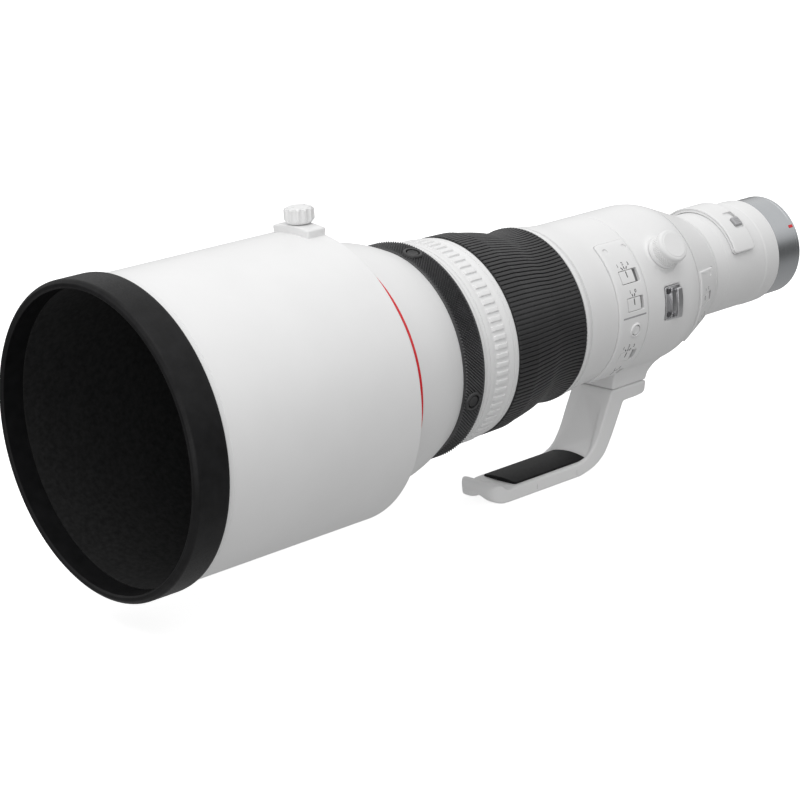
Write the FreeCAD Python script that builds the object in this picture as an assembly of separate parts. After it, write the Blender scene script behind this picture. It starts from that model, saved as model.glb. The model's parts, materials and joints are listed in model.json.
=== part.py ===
"""Super-telephoto camera lens with its hood, tripod collar and foot.

Frame: origin at the centre of the rear mount's flange face, optical axis along Y with the
front of the lens towards -Y, +Z up, and the switch panel on the +X side. Millimetres.
Angles round the barrel are measured from +Z towards +X.
"""
import FreeCAD, Part
import math
import os

V = FreeCAD.Vector
CENTRE = V(0, 0, 0)
OPTICAL = V(0, 1, 0)
SKY = V(0, 0, 1)

# --- driving dimensions --------------------------------------------------------------------
RUN = 0.08            # radial clearance of a running fit
SEAT = 0.05           # gap between two pieces of one body
GAP = 0.4             # axial gap between a turning ring and its neighbour

BARREL_FRONT = -432.0
BELL_R = 81.5
BELL_REAR = -373.0
BELL_REAR_R = 69.5
FUNCTION_FRONT = -354.6
FOCUS_FRONT = -320.1
MID_FRONT = -250.3
COLLAR_FRONT = -186.3
COLLAR_REAR = -130.6
CONE_REAR = -93.3
METAL_FRONT = -24.8

FRONT_TUBE_R = 61.5
FOCUS_TUBE_R = 55.0
COLLAR_TUBE_R = 50.0
NECK_TUBE_R = 44.5
REAR_TUBE_R = 35.5
TUBE_WALL = 2.0

MID_R = 56.1
COLLAR_BORE_R = 52.3
COLLAR_REAR_R = 53.2
COLLAR_LIP_R = 50.3
LINER_REAR = -134.0
CONE_FRONT_R = 53.3
CONE_REAR_R = 38.2
CONE_SLOPE = (CONE_REAR_R - CONE_FRONT_R) / (CONE_REAR - COLLAR_REAR)
REAR_R = 37.3
MOUNT_R = 35.9

HOOD_REAR = -431.6
HOOD_FRONT = -606.0
HOOD_REAR_R = 94.4
HOOD_FRONT_R = 94.8
HOOD_WALL = 1.8
RIM_R = 97.5
RIM_REAR = -581.4
HOOD_KNOB_Y = -438.5
HOOD_KNOB_R = 9.6
SADDLE_R = 99.4

GRIP_R = 71.3
BUTTON_Y = -365.0
BUTTON_R = 4.0
BUTTON_TRAVEL = 0.6
BUTTON_WELL_R = 66.4
BUTTON_TOP_R = GRIP_R + 0.6
BOSS_TOP_R = GRIP_R + 1.1
BUTTON_ANGLES = [16.5 + 90 * i for i in range(4)]

PANEL_TOP = 37.3
PANEL_END = 155.0
PANEL_FRONT = -216.0
PANEL_REAR = -188.5
PANEL_FLOOR_R = 53.7
PANEL_R = 57.0
POCKET_FLOOR_R = 54.9
SLIDER_R = 57.3

FOOT_HALF = 19.0
SEAM_Z = -65.0
FLANGE_Z = -75.0
FOOT_TOP = -108.8
FOOT_BOTTOM = -118.4
FOOT_FRONT = -302.0

FILTER_HALF = 28.0
FILTER_COVER_R = 40.3

os.makedirs("parts", exist_ok=True)


# --- shape helpers -------------------------------------------------------------------------
def outline_face(items, place):
    """Closed flat face. A tuple is a corner; a list is a smooth curve through its points."""
    first = items[0][0] if isinstance(items[0], list) else items[0]
    here = first
    edges = []
    for item in items + [first]:
        target = item[0] if isinstance(item, list) else item
        if target != here:
            edges.append(Part.makeLine(place(here), place(target)))
            here = target
        if isinstance(item, list):
            curve = Part.BSplineCurve()
            curve.interpolate([place(p) for p in item])
            edges.append(curve.toShape())
            here = item[-1]
    return Part.Face(Part.Wire(edges))


def turned(items, start=0.0, end=360.0):
    """Turn a (y, r) outline round the optical axis between two angles."""
    face = outline_face(items, lambda p: V(0, p[0], p[1]))
    face.rotate(CENTRE, OPTICAL, start)
    return face.revolve(CENTRE, OPTICAL, end - start)


def tube(inner, outer, front, rear, start=0.0, end=360.0):
    return turned([(front, inner), (front, outer), (rear, outer), (rear, inner)], start, end)


def disc(radius, front, rear):
    return Part.makeCylinder(radius, rear - front, V(0, front, 0), OPTICAL)


def stud(radius, low, high, y, angle):
    """Cylinder whose axis points straight out of the barrel."""
    shape = Part.makeCylinder(radius, high - low, V(0, y, low), SKY)
    shape.rotate(CENTRE, OPTICAL, angle)
    return shape


def side_plate(items, half_width):
    """Extrude a (y, z) outline across X, symmetric about X = 0."""
    face = outline_face(items, lambda p: V(-half_width, p[0], p[1]))
    return face.extrude(V(2 * half_width, 0, 0))


def front_plate(items, front, rear):
    """Extrude an (x, z) outline along Y."""
    face = outline_face(items, lambda p: V(p[0], front, p[1]))
    return face.extrude(V(0, rear - front, 0))


def box(low, high):
    size = [b - a for a, b in zip(low, high)]
    return Part.makeBox(size[0], size[1], size[2], V(*low))


def fused(shapes):
    return shapes[0].multiFuse(shapes[1:]).removeSplitter()


def lens(radius, front, rear, front_bulge, rear_bulge):
    """Glass element: edge from front to rear, each face bulging outwards by its bulge."""
    def arc(y_edge, bulge, outward):
        middle = y_edge + outward * bulge
        quarter = y_edge + outward * bulge * 0.75
        return [(y_edge, radius), (quarter, radius / 2), (middle, 0)]
    front_curve = arc(front, front_bulge, -1)
    rear_curve = arc(rear, rear_bulge, 1)
    return turned([front_curve[::-1], rear_curve])


def save(name, shape):
    if isinstance(shape, list):
        shape = Part.makeCompound(shape)
    elif shape.ShapeType == "Compound" and len(shape.Solids) == 1:
        shape = shape.Solids[0]
    shape.exportStep("parts/%s.step" % name)


def cone_r(y):
    return CONE_FRONT_R + CONE_SLOPE * (y - COLLAR_REAR)


# --- front barrel and front lens group -----------------------------------------------------
RING_FRONT = -419.4
RING_REAR = -417.6


def make_front():
    bell_curve = [(RING_REAR + 0.6, BELL_R), (-411, 81.0), (-404, 79.9), (-396, 78.2), (-389, 76.2),
                  (-383, 73.9), (-378, 71.8), (BELL_REAR, BELL_REAR_R)]
    front_barrel = turned([
        (BARREL_FRONT, 79.2), (BARREL_FRONT, BELL_R - 0.6), (BARREL_FRONT + 0.6, BELL_R),
        (RING_FRONT, BELL_R), (RING_FRONT, BELL_R - 1), (RING_REAR, BELL_R - 1),
        (RING_REAR, BELL_R - 0.4), bell_curve,
        (BELL_REAR, 66.6), (-378, 68.9), (-389, 73.4), (-400, 76.4), (-410, 78.2), (-414, 79.2)])
    save("front_barrel", front_barrel)
    save("red_accent_ring", tube(BELL_R - 1 + SEAT, BELL_R + 0.1, RING_FRONT + SEAT, RING_REAR - SEAT))
    save("front_retaining_ring", turned([
        (-429.2, 71.6), (-431.4, 73.4), (-431.4, 79.1), (-429.2, 79.1)]))
    save("front_lens_cell", turned([
        (-429.1, 71.2), (-429.1, 79.1), (-414, 79.1), (-410, 78.0), (-400, 76.2), (-389, 73.2),
        (-378, 68.6), (-376, 66.0), (-376, 62.0), (-378, 62.0), (-378, 66.2), (-399, 66.2),
        (-399, 69.0), (-404, 69.0), (-404, 66.2), (-408, 66.2), (-408, 71.2)]))
    save("front_lens_group", [lens(71.1, -425.0, -413.0, 3.6, 1.5), lens(66.1, -396.0, -386.0, 2.5, -1.5)])


# --- grip ring with four buttons -----------------------------------------------------------
def make_grip_ring():
    front = BELL_REAR + SEAT
    rear = FUNCTION_FRONT - GAP / 2
    ring = turned([(front, FRONT_TUBE_R + SEAT), (front, GRIP_R - 0.9), (front + 0.9, GRIP_R),
                   (rear - 0.9, GRIP_R), (rear, GRIP_R - 0.9), (rear, FRONT_TUBE_R + SEAT)])
    bosses = [stud(BUTTON_R + 2.1, BUTTON_WELL_R, BOSS_TOP_R, BUTTON_Y, a) for a in BUTTON_ANGLES]
    wells = [stud(BUTTON_R + 0.35, BUTTON_WELL_R, 80, BUTTON_Y, a) for a in BUTTON_ANGLES]
    save("grip_ring", fused([ring] + bosses).cut(wells))
    for number, angle in enumerate(BUTTON_ANGLES, 1):
        cap = stud(BUTTON_R, BUTTON_WELL_R + BUTTON_TRAVEL + 0.1, BUTTON_TOP_R, BUTTON_Y, angle)
        save("af_button_%d" % number, cap)


# --- inner tube that carries every ring ----------------------------------------------------
def make_main_tube():
    steps = [(BELL_REAR + 2.4, FOCUS_FRONT - 0.5, FRONT_TUBE_R), (FOCUS_FRONT - 0.5, MID_FRONT, FOCUS_TUBE_R),
             (MID_FRONT, COLLAR_REAR - 0.9, COLLAR_TUBE_R), (COLLAR_REAR - 0.9, -118, NECK_TUBE_R),
             (-118, CONE_REAR - 0.5, REAR_TUBE_R)]
    outer = [(BELL_REAR + SEAT, FRONT_TUBE_R)]
    inner = [(BELL_REAR + SEAT, FRONT_TUBE_R - TUBE_WALL)]
    for front, rear, radius in steps:
        outer += [(front, radius), (rear, radius)]
        inner += [(front - TUBE_WALL, radius - TUBE_WALL), (rear - TUBE_WALL, radius - TUBE_WALL)]
    inner[1] = (BELL_REAR + 1, FRONT_TUBE_R - TUBE_WALL)
    inner[-1] = (steps[-1][1], REAR_TUBE_R - TUBE_WALL)
    save("main_tube", turned(outer + inner[::-1]))


# --- turning rings -------------------------------------------------------------------------
def make_rings():
    front = FUNCTION_FRONT + GAP / 2
    rear = FOCUS_FRONT - GAP / 2
    save("function_ring", turned([
        (front, FRONT_TUBE_R + RUN), (front, 66.8), (front + 1.2, 68.0), (rear - 7.0, 68.0),
        (rear - 1.0, 66.6), (rear, 65.8), (rear, FRONT_TUBE_R + RUN)]))
    front = FOCUS_FRONT + GAP / 2
    rear = MID_FRONT - GAP
    sleeve_curve = [(front, 64.5), (-302, 63.9), (-291, 61.9), (-281, 59.6), (-273, 57.8), (-264, 57.3),
                    (rear, 57.2)]
    save("focus_ring_sleeve", turned([(front, FOCUS_TUBE_R + RUN), sleeve_curve,
                                      (rear, FOCUS_TUBE_R + RUN)]))
    lift = [(y, r + SEAT) for y, r in sleeve_curve]
    ridge_curve = [(front + 0.8, 67.3), (-313, 67.2), (-302, 66.6), (-291, 64.6), (-281, 62.5),
                   (-276, 60.9), (-271, 59.9), (-262, 59.3), (-256, 59.5), (rear - 0.8, 60.4)]
    save("focus_ring_rubber", turned([lift[::-1], (front, 66.5), ridge_curve, (rear, 59.8)]))


# --- fixed middle barrel and its switch panel ----------------------------------------------
# name, centre along Y of the window, centre angle, window length, travel
PANEL_SLIDERS = [
    ("stabilizer_mode_slider", -200.3, 65.2, 17.4, 4.0),
    ("stabilizer_switch_slider", -200.0, 84.2, 15.6, 2.6),
    ("focus_preset_slider", -201.0, 123.6, 16.0, 4.0),
    ("focus_speed_slider", -200.0, 144.7, 16.0, 4.0)]
WINDOW_ARC = 9.4
SET_BUTTON_Y = -200.1
SET_BUTTON_ANGLE = 102.6
SET_BUTTON_R = 3.4
PANEL_SCREWS = [(-210.0, 44.4), (-191.8, 44.4)]


def make_middle():
    rear = COLLAR_FRONT - GAP / 2
    flare = [(MID_FRONT + 0.6, 59.2), (-243, 58.8), (-237, 58.2), (-231, 57.5), (-226, 56.8), (-221, 56.2),
             (-216.5, MID_R)]
    shell = turned([(MID_FRONT, FOCUS_TUBE_R - 3), (MID_FRONT, 58.6), flare, (rear, MID_R), (rear, 52.1),
                    (MID_FRONT + 3, 52.1)])
    bed = tube(PANEL_FLOOR_R - SEAT, 62, PANEL_FRONT - 0.1, PANEL_REAR + 0.1,
               PANEL_TOP - 0.1, PANEL_END + 0.1)
    save("mid_barrel", shell.cut(bed))

    panel = turned([(PANEL_FRONT, PANEL_FLOOR_R), (PANEL_FRONT, PANEL_R - 0.8), (PANEL_FRONT + 0.8, PANEL_R),
                    (PANEL_REAR - 0.8, PANEL_R), (PANEL_REAR, PANEL_R - 0.8), (PANEL_REAR, PANEL_FLOOR_R)],
                   PANEL_TOP, PANEL_END)
    collar = stud(SET_BUTTON_R + 1.8, PANEL_R - 1, PANEL_R + 0.5, SET_BUTTON_Y, SET_BUTTON_ANGLE)
    panel = fused([panel, collar])
    cuts = [stud(SET_BUTTON_R + 0.3, POCKET_FLOOR_R, 62, SET_BUTTON_Y, SET_BUTTON_ANGLE)]
    half = WINDOW_ARC / 2
    for name, y, angle, length, travel in PANEL_SLIDERS:
        front = y - length / 2
        cuts.append(tube(POCKET_FLOOR_R, 62, front, y + length / 2, angle - half, angle + half))
        slim = half - 0.4
        slider = tube(POCKET_FLOOR_R + 0.3, SLIDER_R, front + 0.4, y + length / 2 - travel - 0.4,
                      angle - slim, angle + slim)
        save(name, slider)
    for y, angle in PANEL_SCREWS:
        cuts.append(stud(2.1, PANEL_R - 1.0, 62, y, angle))
        cuts.append(stud(1.05, PANEL_FLOOR_R - 0.02, 62, y, angle))
    save("switch_panel", panel.cut(cuts))
    button = stud(SET_BUTTON_R, POCKET_FLOOR_R + 1.0, PANEL_R + 0.9, SET_BUTTON_Y, SET_BUTTON_ANGLE)
    save("set_button", button)


# --- rear cone with its own switch panel ---------------------------------------------------
REAR_PANEL_FRONT = -128.8
REAR_PANEL_REAR = -104.2
REAR_PANEL_ANGLES = (76.5, 139.0)
REAR_SLIDERS = [("focus_mode_slider", 100.4), ("focus_range_slider", 123.0)]
REAR_WINDOW = (-127.2, -110.8)
REAR_TRAVEL = 2.6
REAR_SCREW = (-110.9, 81.2)


def cone_band(front, rear, low, high, start, end):
    """Sector that follows the cone, from low to high above its surface."""
    return turned([(front, cone_r(front) + low), (front, cone_r(front) + high),
                   (rear, cone_r(rear) + high), (rear, cone_r(rear) + low)], start, end)


def make_cone():
    front = COLLAR_REAR + GAP
    shell = turned([(front, cone_r(front) - 2.4), (front, cone_r(front)), (-97, cone_r(-97)),
                    (CONE_REAR - 0.1, CONE_REAR_R - 0.3), (CONE_REAR - 0.1, REAR_TUBE_R + SEAT),
                    (-97, REAR_TUBE_R + 1.2)])
    start, end = REAR_PANEL_ANGLES
    bed = cone_band(REAR_PANEL_FRONT - 0.1, REAR_PANEL_REAR + 0.1, -1.6, 6, start - 0.1, end + 0.1)
    save("rear_cone", shell.cut(bed))
    panel = cone_band(REAR_PANEL_FRONT, REAR_PANEL_REAR, -1.55, 0.6, start, end)
    cuts = []
    half = 4.6
    for name, angle in REAR_SLIDERS:
        cuts.append(cone_band(REAR_WINDOW[0], REAR_WINDOW[1], -0.9, 6, angle - half, angle + half))
        slider = cone_band(REAR_WINDOW[0] + 0.4, REAR_WINDOW[1] - REAR_TRAVEL - 0.4, -0.6, 0.9,
                           angle - half + 0.9, angle + half - 0.9)
        save(name, slider)
    y, angle = REAR_SCREW
    level = cone_r(y)
    cuts.append(stud(1.75, level - 0.5, 60, y, angle))
    save("rear_switch_panel", panel.cut(cuts))
    screws = []
    for y2, angle2 in PANEL_SCREWS:
        head = stud(2.0, PANEL_R - 0.95, PANEL_R - 0.1, y2, angle2)
        shank = stud(1.0, PANEL_FLOOR_R + 0.1, PANEL_R - 0.95, y2, angle2)
        screws.append(fused([head, shank]))
    screws.append(stud(1.65, level - 0.45, level + 0.5, y, angle))
    save("panel_screws", screws)


# --- rear barrel, metal mount and drop-in filter -------------------------------------------
def make_rear_barrel():
    front = CONE_REAR + 0.1
    rear = METAL_FRONT - 0.1
    shell = turned([(front, 30), (front, REAR_R - 0.4), (front + 0.4, REAR_R), (-40.5, REAR_R),
                    (-39, 37.7), (-31, 37.7), (rear - 0.8, 37.5), (rear, 36.8), (rear, 34.8),
                    (front + 2, 34.8), (front + 2, 30)])
    slot = box((-FILTER_HALF - 0.3, -69.4, 12), (FILTER_HALF + 0.3, -58.6, 45))
    save("rear_barrel", shell.cut(slot))

    cover = turned([(-76.5, REAR_R + 0.35), (-74.5, FILTER_COVER_R - 0.3), (-73.9, FILTER_COVER_R),
                    (-53.5, FILTER_COVER_R), (-53.0, FILTER_COVER_R - 0.4), (-53.0, REAR_R + 0.35)], -72, 72)
    upper = box((-FILTER_HALF, -69, 0), (FILTER_HALF, -59, REAR_R + 3))
    upper = upper.common(disc(FILTER_COVER_R - 1.5, -69, -59))
    lower = disc(FILTER_HALF, -69, -59)
    holder = fused([cover, upper, lower])
    cuts = [disc(24.0, -70, -58), disc(25.2, -66, -58)]
    for sign in (1, -1):
        edges = sorted((sign * 25.0, sign * 47.0))
        cuts.append(tube(FILTER_COVER_R - 1.1, 44, -63.5, -54.5, edges[0], edges[1]))
    save("filter_holder", holder.cut(cuts))
    save("filter_glass", disc(25.1, -65.9, -64.3))
    for name, sign in (("filter_tab_right", 1), ("filter_tab_left", -1)):
        edges = sorted((sign * 34.5, sign * 44.5))
        tab = turned([(-62.6, FILTER_COVER_R - 0.8), (-61.6, FILTER_COVER_R + 1.0),
                      (-59, FILTER_COVER_R + 1.6), (-56.4, FILTER_COVER_R + 1.0),
                      (-55.4, FILTER_COVER_R - 0.8)], edges[0], edges[1])
        save(name, tab)


MOUNT_SCREW_CIRCLE_R = 29.0
MOUNT_SCREW_ANGLES = [40, 130, 220, 310]
CONTACTS = 12
CONTACT_CIRCLE_R = 20.9


def rod(radius, front, rear, from_axis, angle):
    """Cylinder parallel to the optical axis, at a distance from it."""
    shape = Part.makeCylinder(radius, rear - front, V(0, front, from_axis), OPTICAL)
    shape.rotate(CENTRE, OPTICAL, angle)
    return shape


def make_mount():
    ring = turned([(METAL_FRONT, 31.0), (METAL_FRONT, MOUNT_R - 0.3), (METAL_FRONT + 0.3, MOUNT_R),
                   (-0.5, MOUNT_R), (0, MOUNT_R - 0.5), (0, 25.0), (-3, 25.0), (-3, 31.0)])
    cuts = []
    screws = []
    for angle in MOUNT_SCREW_ANGLES:
        cuts.append(rod(1.85, -1.3, 1, MOUNT_SCREW_CIRCLE_R, angle))
        cuts.append(rod(1.05, -4, 1, MOUNT_SCREW_CIRCLE_R, angle))
        head = rod(1.8, -1.25, -0.15, MOUNT_SCREW_CIRCLE_R, angle)
        shank = rod(1.0, -2.95, -1.25, MOUNT_SCREW_CIRCLE_R, angle)
        screws.append(fused([head, shank]))
    save("mount_ring", ring.cut(cuts))
    save("mount_screws", screws)

    sleeve = tube(22.3, 24.95, -6, 5.4)
    stop = tube(24.5, 26.6, -6, -3.1)
    lugs = [tube(24.5, 26.8, 3.4, 5.0, start, start + 52) for start in (10, 130, 250)]
    save("bayonet_ring", fused([sleeve, stop] + lugs))
    save("contact_block", tube(19.6, 22.25, -5, 5.0, 142, 218))
    save("contact_pins", [rod(0.75, 5.0, 5.75, CONTACT_CIRCLE_R, 147.5 + 5.9 * i) for i in range(CONTACTS)])


# --- hood ----------------------------------------------------------------------------------
def make_hood():
    tip = HOOD_FRONT + 15.2
    save("hood_tube", turned([
        (tip, HOOD_FRONT_R - HOOD_WALL), (tip, HOOD_FRONT_R), (HOOD_REAR - 0.3, HOOD_REAR_R),
        (HOOD_REAR, HOOD_REAR_R - 0.3), (HOOD_REAR, 84.6), (-424.4, 84.6), (-423.6, 83.8),
        (-423.6, BELL_R + RUN), (-434.1, BELL_R + RUN), (-434.1, HOOD_REAR_R - HOOD_WALL)])
         .cut(stud(2.6, 80, 100, HOOD_KNOB_Y, 0)))
    save("hood_front_rubber", turned([
        (RIM_REAR, HOOD_FRONT_R + SEAT), (RIM_REAR, 96.4), (RIM_REAR - 0.9, RIM_R - 0.3),
        [(-584.0, RIM_R), (-594.0, RIM_R), (-602.0, RIM_R - 0.1), (-604.4, RIM_R - 0.7),
         (-605.6, RIM_R - 1.9), (HOOD_FRONT, RIM_R - 3.3)],
        [(HOOD_FRONT, 93.4), (-605.2, 92.4), (-603.6, 92.0)],
        (tip - SEAT, 92.0), (tip - SEAT, HOOD_FRONT_R + SEAT)]))
    save("hood_lining", turned([
        (tip + 0.1, 91.7), (tip + 0.1, 92.55), (-434.2, 92.55), (-434.2, 82.0), (-434.9, 82.0),
        (-434.9, 91.7)]).cut(stud(3.0, 80, 100, HOOD_KNOB_Y, 0)))
    pad = turned([(-446.5, HOOD_REAR_R + 0.1), (-446.5, SADDLE_R - 1.0), (-445.5, SADDLE_R),
                  (-433.0, SADDLE_R), (-432.0, SADDLE_R - 1.0), (-432.0, HOOD_REAR_R + 0.1)], -9.8, 9.8)
    save("hood_knob_saddle", pad.cut(stud(2.6, 80, 101, HOOD_KNOB_Y, 0)))

    knob_foot = SADDLE_R + 0.5
    knob = fused([stud(7.6, knob_foot, knob_foot + 1.0, HOOD_KNOB_Y, 0),
                  stud(HOOD_KNOB_R, knob_foot + 1.0, 109.4, HOOD_KNOB_Y, 0)])
    flutes = []
    for i in range(12):
        flute = Part.makeCylinder(1.4, 14, V(0, HOOD_KNOB_Y + HOOD_KNOB_R + 0.7, 99.0), SKY)
        flute.rotate(V(0, HOOD_KNOB_Y, 0), SKY, 30 * i)
        flutes.append(flute)
    top = stud(HOOD_KNOB_R - 1.3, 109.4, 110.0, HOOD_KNOB_Y, 0)
    save("hood_lock_knob", fused([knob.cut(flutes), top]).cut(stud(2.0, 97, 105, HOOD_KNOB_Y, 0)))
    save("hood_clamp_screw", stud(1.95, 86.0, 104.9, HOOD_KNOB_Y, 0))


# --- tripod collar, foot and strap lugs ----------------------------------------------------
KNOB_Y = -161.4
KNOB_ANGLE = 56.0
LUG_ANGLE = 91.6
LUG_HALF = 12.0
LUG_FRONT = -168.6
LUG_REAR = -153.4
LUG_BAR = (-160.3, -155.3)


def make_collar():
    front = COLLAR_FRONT + GAP / 2
    shoulder = [(-147, MID_R), (-142, 55.9), (-136, 54.9), (COLLAR_REAR, COLLAR_REAR_R)]
    shell = turned([(front, COLLAR_BORE_R), (front, MID_R - 0.3), (front + 0.3, MID_R), shoulder,
                    (COLLAR_REAR, COLLAR_LIP_R), (LINER_REAR, COLLAR_LIP_R), (LINER_REAR, COLLAR_BORE_R)])
    across = front_plate([(-18.5, SEAM_Z), (18.5, SEAM_Z), [(18.5, -60.5), (20.6, -54.6), (28.5, -46.0)],
                          (28.5, -42), (-28.5, -42), [(-28.5, -46.0), (-20.6, -54.6), (-18.5, -60.5)]],
                         -184.2, -131.5)
    along = side_plate([(-184.2, SEAM_Z), (-184.2, -40), (-131.5, -40), (-131.5, -48.2),
                        [(-131.5, -48.2), (-138.5, -51.2), (-146.0, -57.4), (-150.4, SEAM_Z)]], 40)
    boss = across.common(along)
    seat = stud(13.0, 50, 57.0, KNOB_Y, KNOB_ANGLE)
    body = fused([shell, boss, seat])
    lug_beds = []
    for sign in (1, -1):
        edges = sorted((sign * (LUG_ANGLE - LUG_HALF - 0.3), sign * (LUG_ANGLE + LUG_HALF + 0.3)))
        lug_beds.append(tube(53.6, 62, LUG_FRONT - 0.3, LUG_REAR + 0.3, edges[0], edges[1]))
    bore = disc(COLLAR_BORE_R, front - 1, LINER_REAR)
    lip = disc(COLLAR_LIP_R, LINER_REAR - 1, COLLAR_REAR + 1)
    body = body.cut(lug_beds + [bore, lip, stud(2.58, 50, 60, KNOB_Y, KNOB_ANGLE)])
    holes = [Part.makeCylinder(2.1, 12, V(x, -160.5, SEAM_Z - 1), SKY) for x in (-10, 10)]
    save("collar_housing", body.cut(holes))
    liner = tube(COLLAR_TUBE_R + RUN, COLLAR_BORE_R - SEAT, front + 1, LINER_REAR - SEAT)
    save("collar_liner", liner)

    knob = fused([stud(12.2, 57.3, 60.0, KNOB_Y, KNOB_ANGLE), stud(11.6, 60.0, 68.6, KNOB_Y, KNOB_ANGLE),
                  stud(10.4, 68.6, 70.2, KNOB_Y, KNOB_ANGLE), stud(2.5, 53.2, 57.3, KNOB_Y, KNOB_ANGLE)])
    save("collar_lock_knob", knob)


def strap_lug(sign):
    def band(low, high, front, rear, start, end):
        edges = sorted((sign * start, sign * end))
        return tube(low, high, front, rear, edges[0], edges[1])
    low_angle = LUG_ANGLE - LUG_HALF
    high_angle = LUG_ANGLE + LUG_HALF
    plate = band(53.65, 55.0, LUG_FRONT, LUG_REAR, low_angle, high_angle)
    rim = band(53.65, 56.3, LUG_FRONT, LUG_REAR, low_angle, high_angle)
    rim = rim.cut(band(50, 62, LUG_FRONT + 1, LUG_REAR - 1, low_angle + 1.0, high_angle - 1.0))
    rib = band(54.0, 56.3, -162.6, -161.4, low_angle, high_angle)
    bar_start = low_angle + 2.0
    bar_end = high_angle - 1.2
    posts = [band(54.0, 60.0, LUG_BAR[0], LUG_BAR[1], a, a + 2.8) for a in (bar_start, bar_end - 2.8)]
    bar = band(58.2, 60.0, LUG_BAR[0], LUG_BAR[1], bar_start, bar_end)
    screws = []
    holes = []
    for angle in (low_angle + 3.6, high_angle - 3.6):
        holes.append(stud(2.0, 54.3, 62, -165.0, sign * angle))
        screws.append(stud(1.9, 54.35, 55.9, -165.0, sign * angle))
    return fused([plate, rim, rib] + posts + [bar]).cut(holes), screws


def make_foot():
    leg_front = [(-185.0, SEAM_Z - 0.15), (-189.0, -72.0), (-194.5, -82.0), (-200.8, -94.0),
                 (-206.5, -101.6), (-211.5, -105.8), (-218.5, FOOT_TOP)]
    nose = [(-284.5, FOOT_TOP), (-287.5, -109.4), (-290.2, -108.4), (-293.2, -106.3), (-296.6, -105.4),
            (-300.0, -106.6), (FOOT_FRONT, -109.8), (-301.2, -113.4), (-298.6, -116.4), (-294.0, FOOT_BOTTOM)]
    heel = [(-219.0, FOOT_BOTTOM), (-206.5, -115.4), (-196.5, -109.8), (-189.6, -101.6), (-180.6, -87.0),
            (-174.0, FLANGE_Z)]
    outline = [leg_front, nose, heel, (-155.0, FLANGE_Z), (-151.8, -73.0), (-150.2, SEAM_Z - 0.15)]
    blank = side_plate(outline, FOOT_HALF)
    plan_front = [(-FOOT_HALF, -288.0), (-17.6, -295.0), (-12.5, -300.4), (-6.0, FOOT_FRONT),
                  (6.0, FOOT_FRONT), (12.5, -300.4), (17.6, -295.0), (FOOT_HALF, -288.0)]
    plan = outline_face([plan_front, (FOOT_HALF, -149), (-FOOT_HALF, -149)], lambda p: V(p[0], p[1], -130))
    blank = blank.common(plan.extrude(V(0, 0, 80)))
    blank = blank.common(box((-30, FOOT_FRONT - 5, FOOT_BOTTOM), (30, -140, SEAM_Z)))
    holes = [Part.makeCylinder(4.7625, 8.0, V(0, -262, FOOT_BOTTOM), SKY),
             Part.makeCylinder(3.175, 8.0, V(0, -238, FOOT_BOTTOM), SKY)]
    groove = front_plate([(-6.5, FOOT_BOTTOM - 1), (6.5, FOOT_BOTTOM - 1),
                          [(6.5, FOOT_BOTTOM - 1), (4.6, -116.2), (0, -115.2), (-4.6, -116.2),
                           (-6.5, FOOT_BOTTOM - 1)]], -303, -284)
    scoop = side_plate([(-209.9, FOOT_TOP), (-203.6, -100.5), (-187.6, -70.0), (-205, -66),
                        (-225, -100), (-225, FOOT_TOP)], 15.7)
    for x in (-10, 10):
        holes.append(Part.makeCylinder(2.1, 12, V(x, -160.5, SEAM_Z - 11), SKY))
        holes.append(Part.makeCylinder(4.0, 10, V(x, -160.5, SEAM_Z - 15), SKY))
    whole = blank.cut(holes + [groove, scoop])
    # the bolted flange and the leg under it are two solids that meet face to face
    flange_room = box((-30, FOOT_FRONT - 5, FLANGE_Z), (30, -140, SEAM_Z))
    save("foot", [whole.common(flange_room), whole.cut(flange_room)])

    pad_profile = [(-15.5, FOOT_TOP + SEAT), (15.5, FOOT_TOP + SEAT), (15.5, -107.9),
                   [(15.5, -107.9), (8.0, -106.6), (0, -106.1), (-8.0, -106.6), (-15.5, -107.9)]]
    pad = front_plate(pad_profile, -280.0, -210.6)
    corners = [e for e in pad.Edges if abs(e.tangentAt(e.FirstParameter).z) > 0.9]
    save("foot_pad", pad.makeFillet(2.5, corners))

    lugs = [strap_lug(sign) for sign in (1, -1)]
    save("strap_lugs", [lug for lug, _ in lugs])
    screws = [screw for _, group in lugs for screw in group]
    for x in (-10, 10):
        head = Part.makeCylinder(3.8, 4.0, V(x, -160.5, SEAM_Z - 9.1), SKY)
        shank = Part.makeCylinder(2.0, 10.0, V(x, -160.5, SEAM_Z - 5.1), SKY)
        screws.append(fused([head, shank]))
    save("collar_screws", screws)


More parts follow.
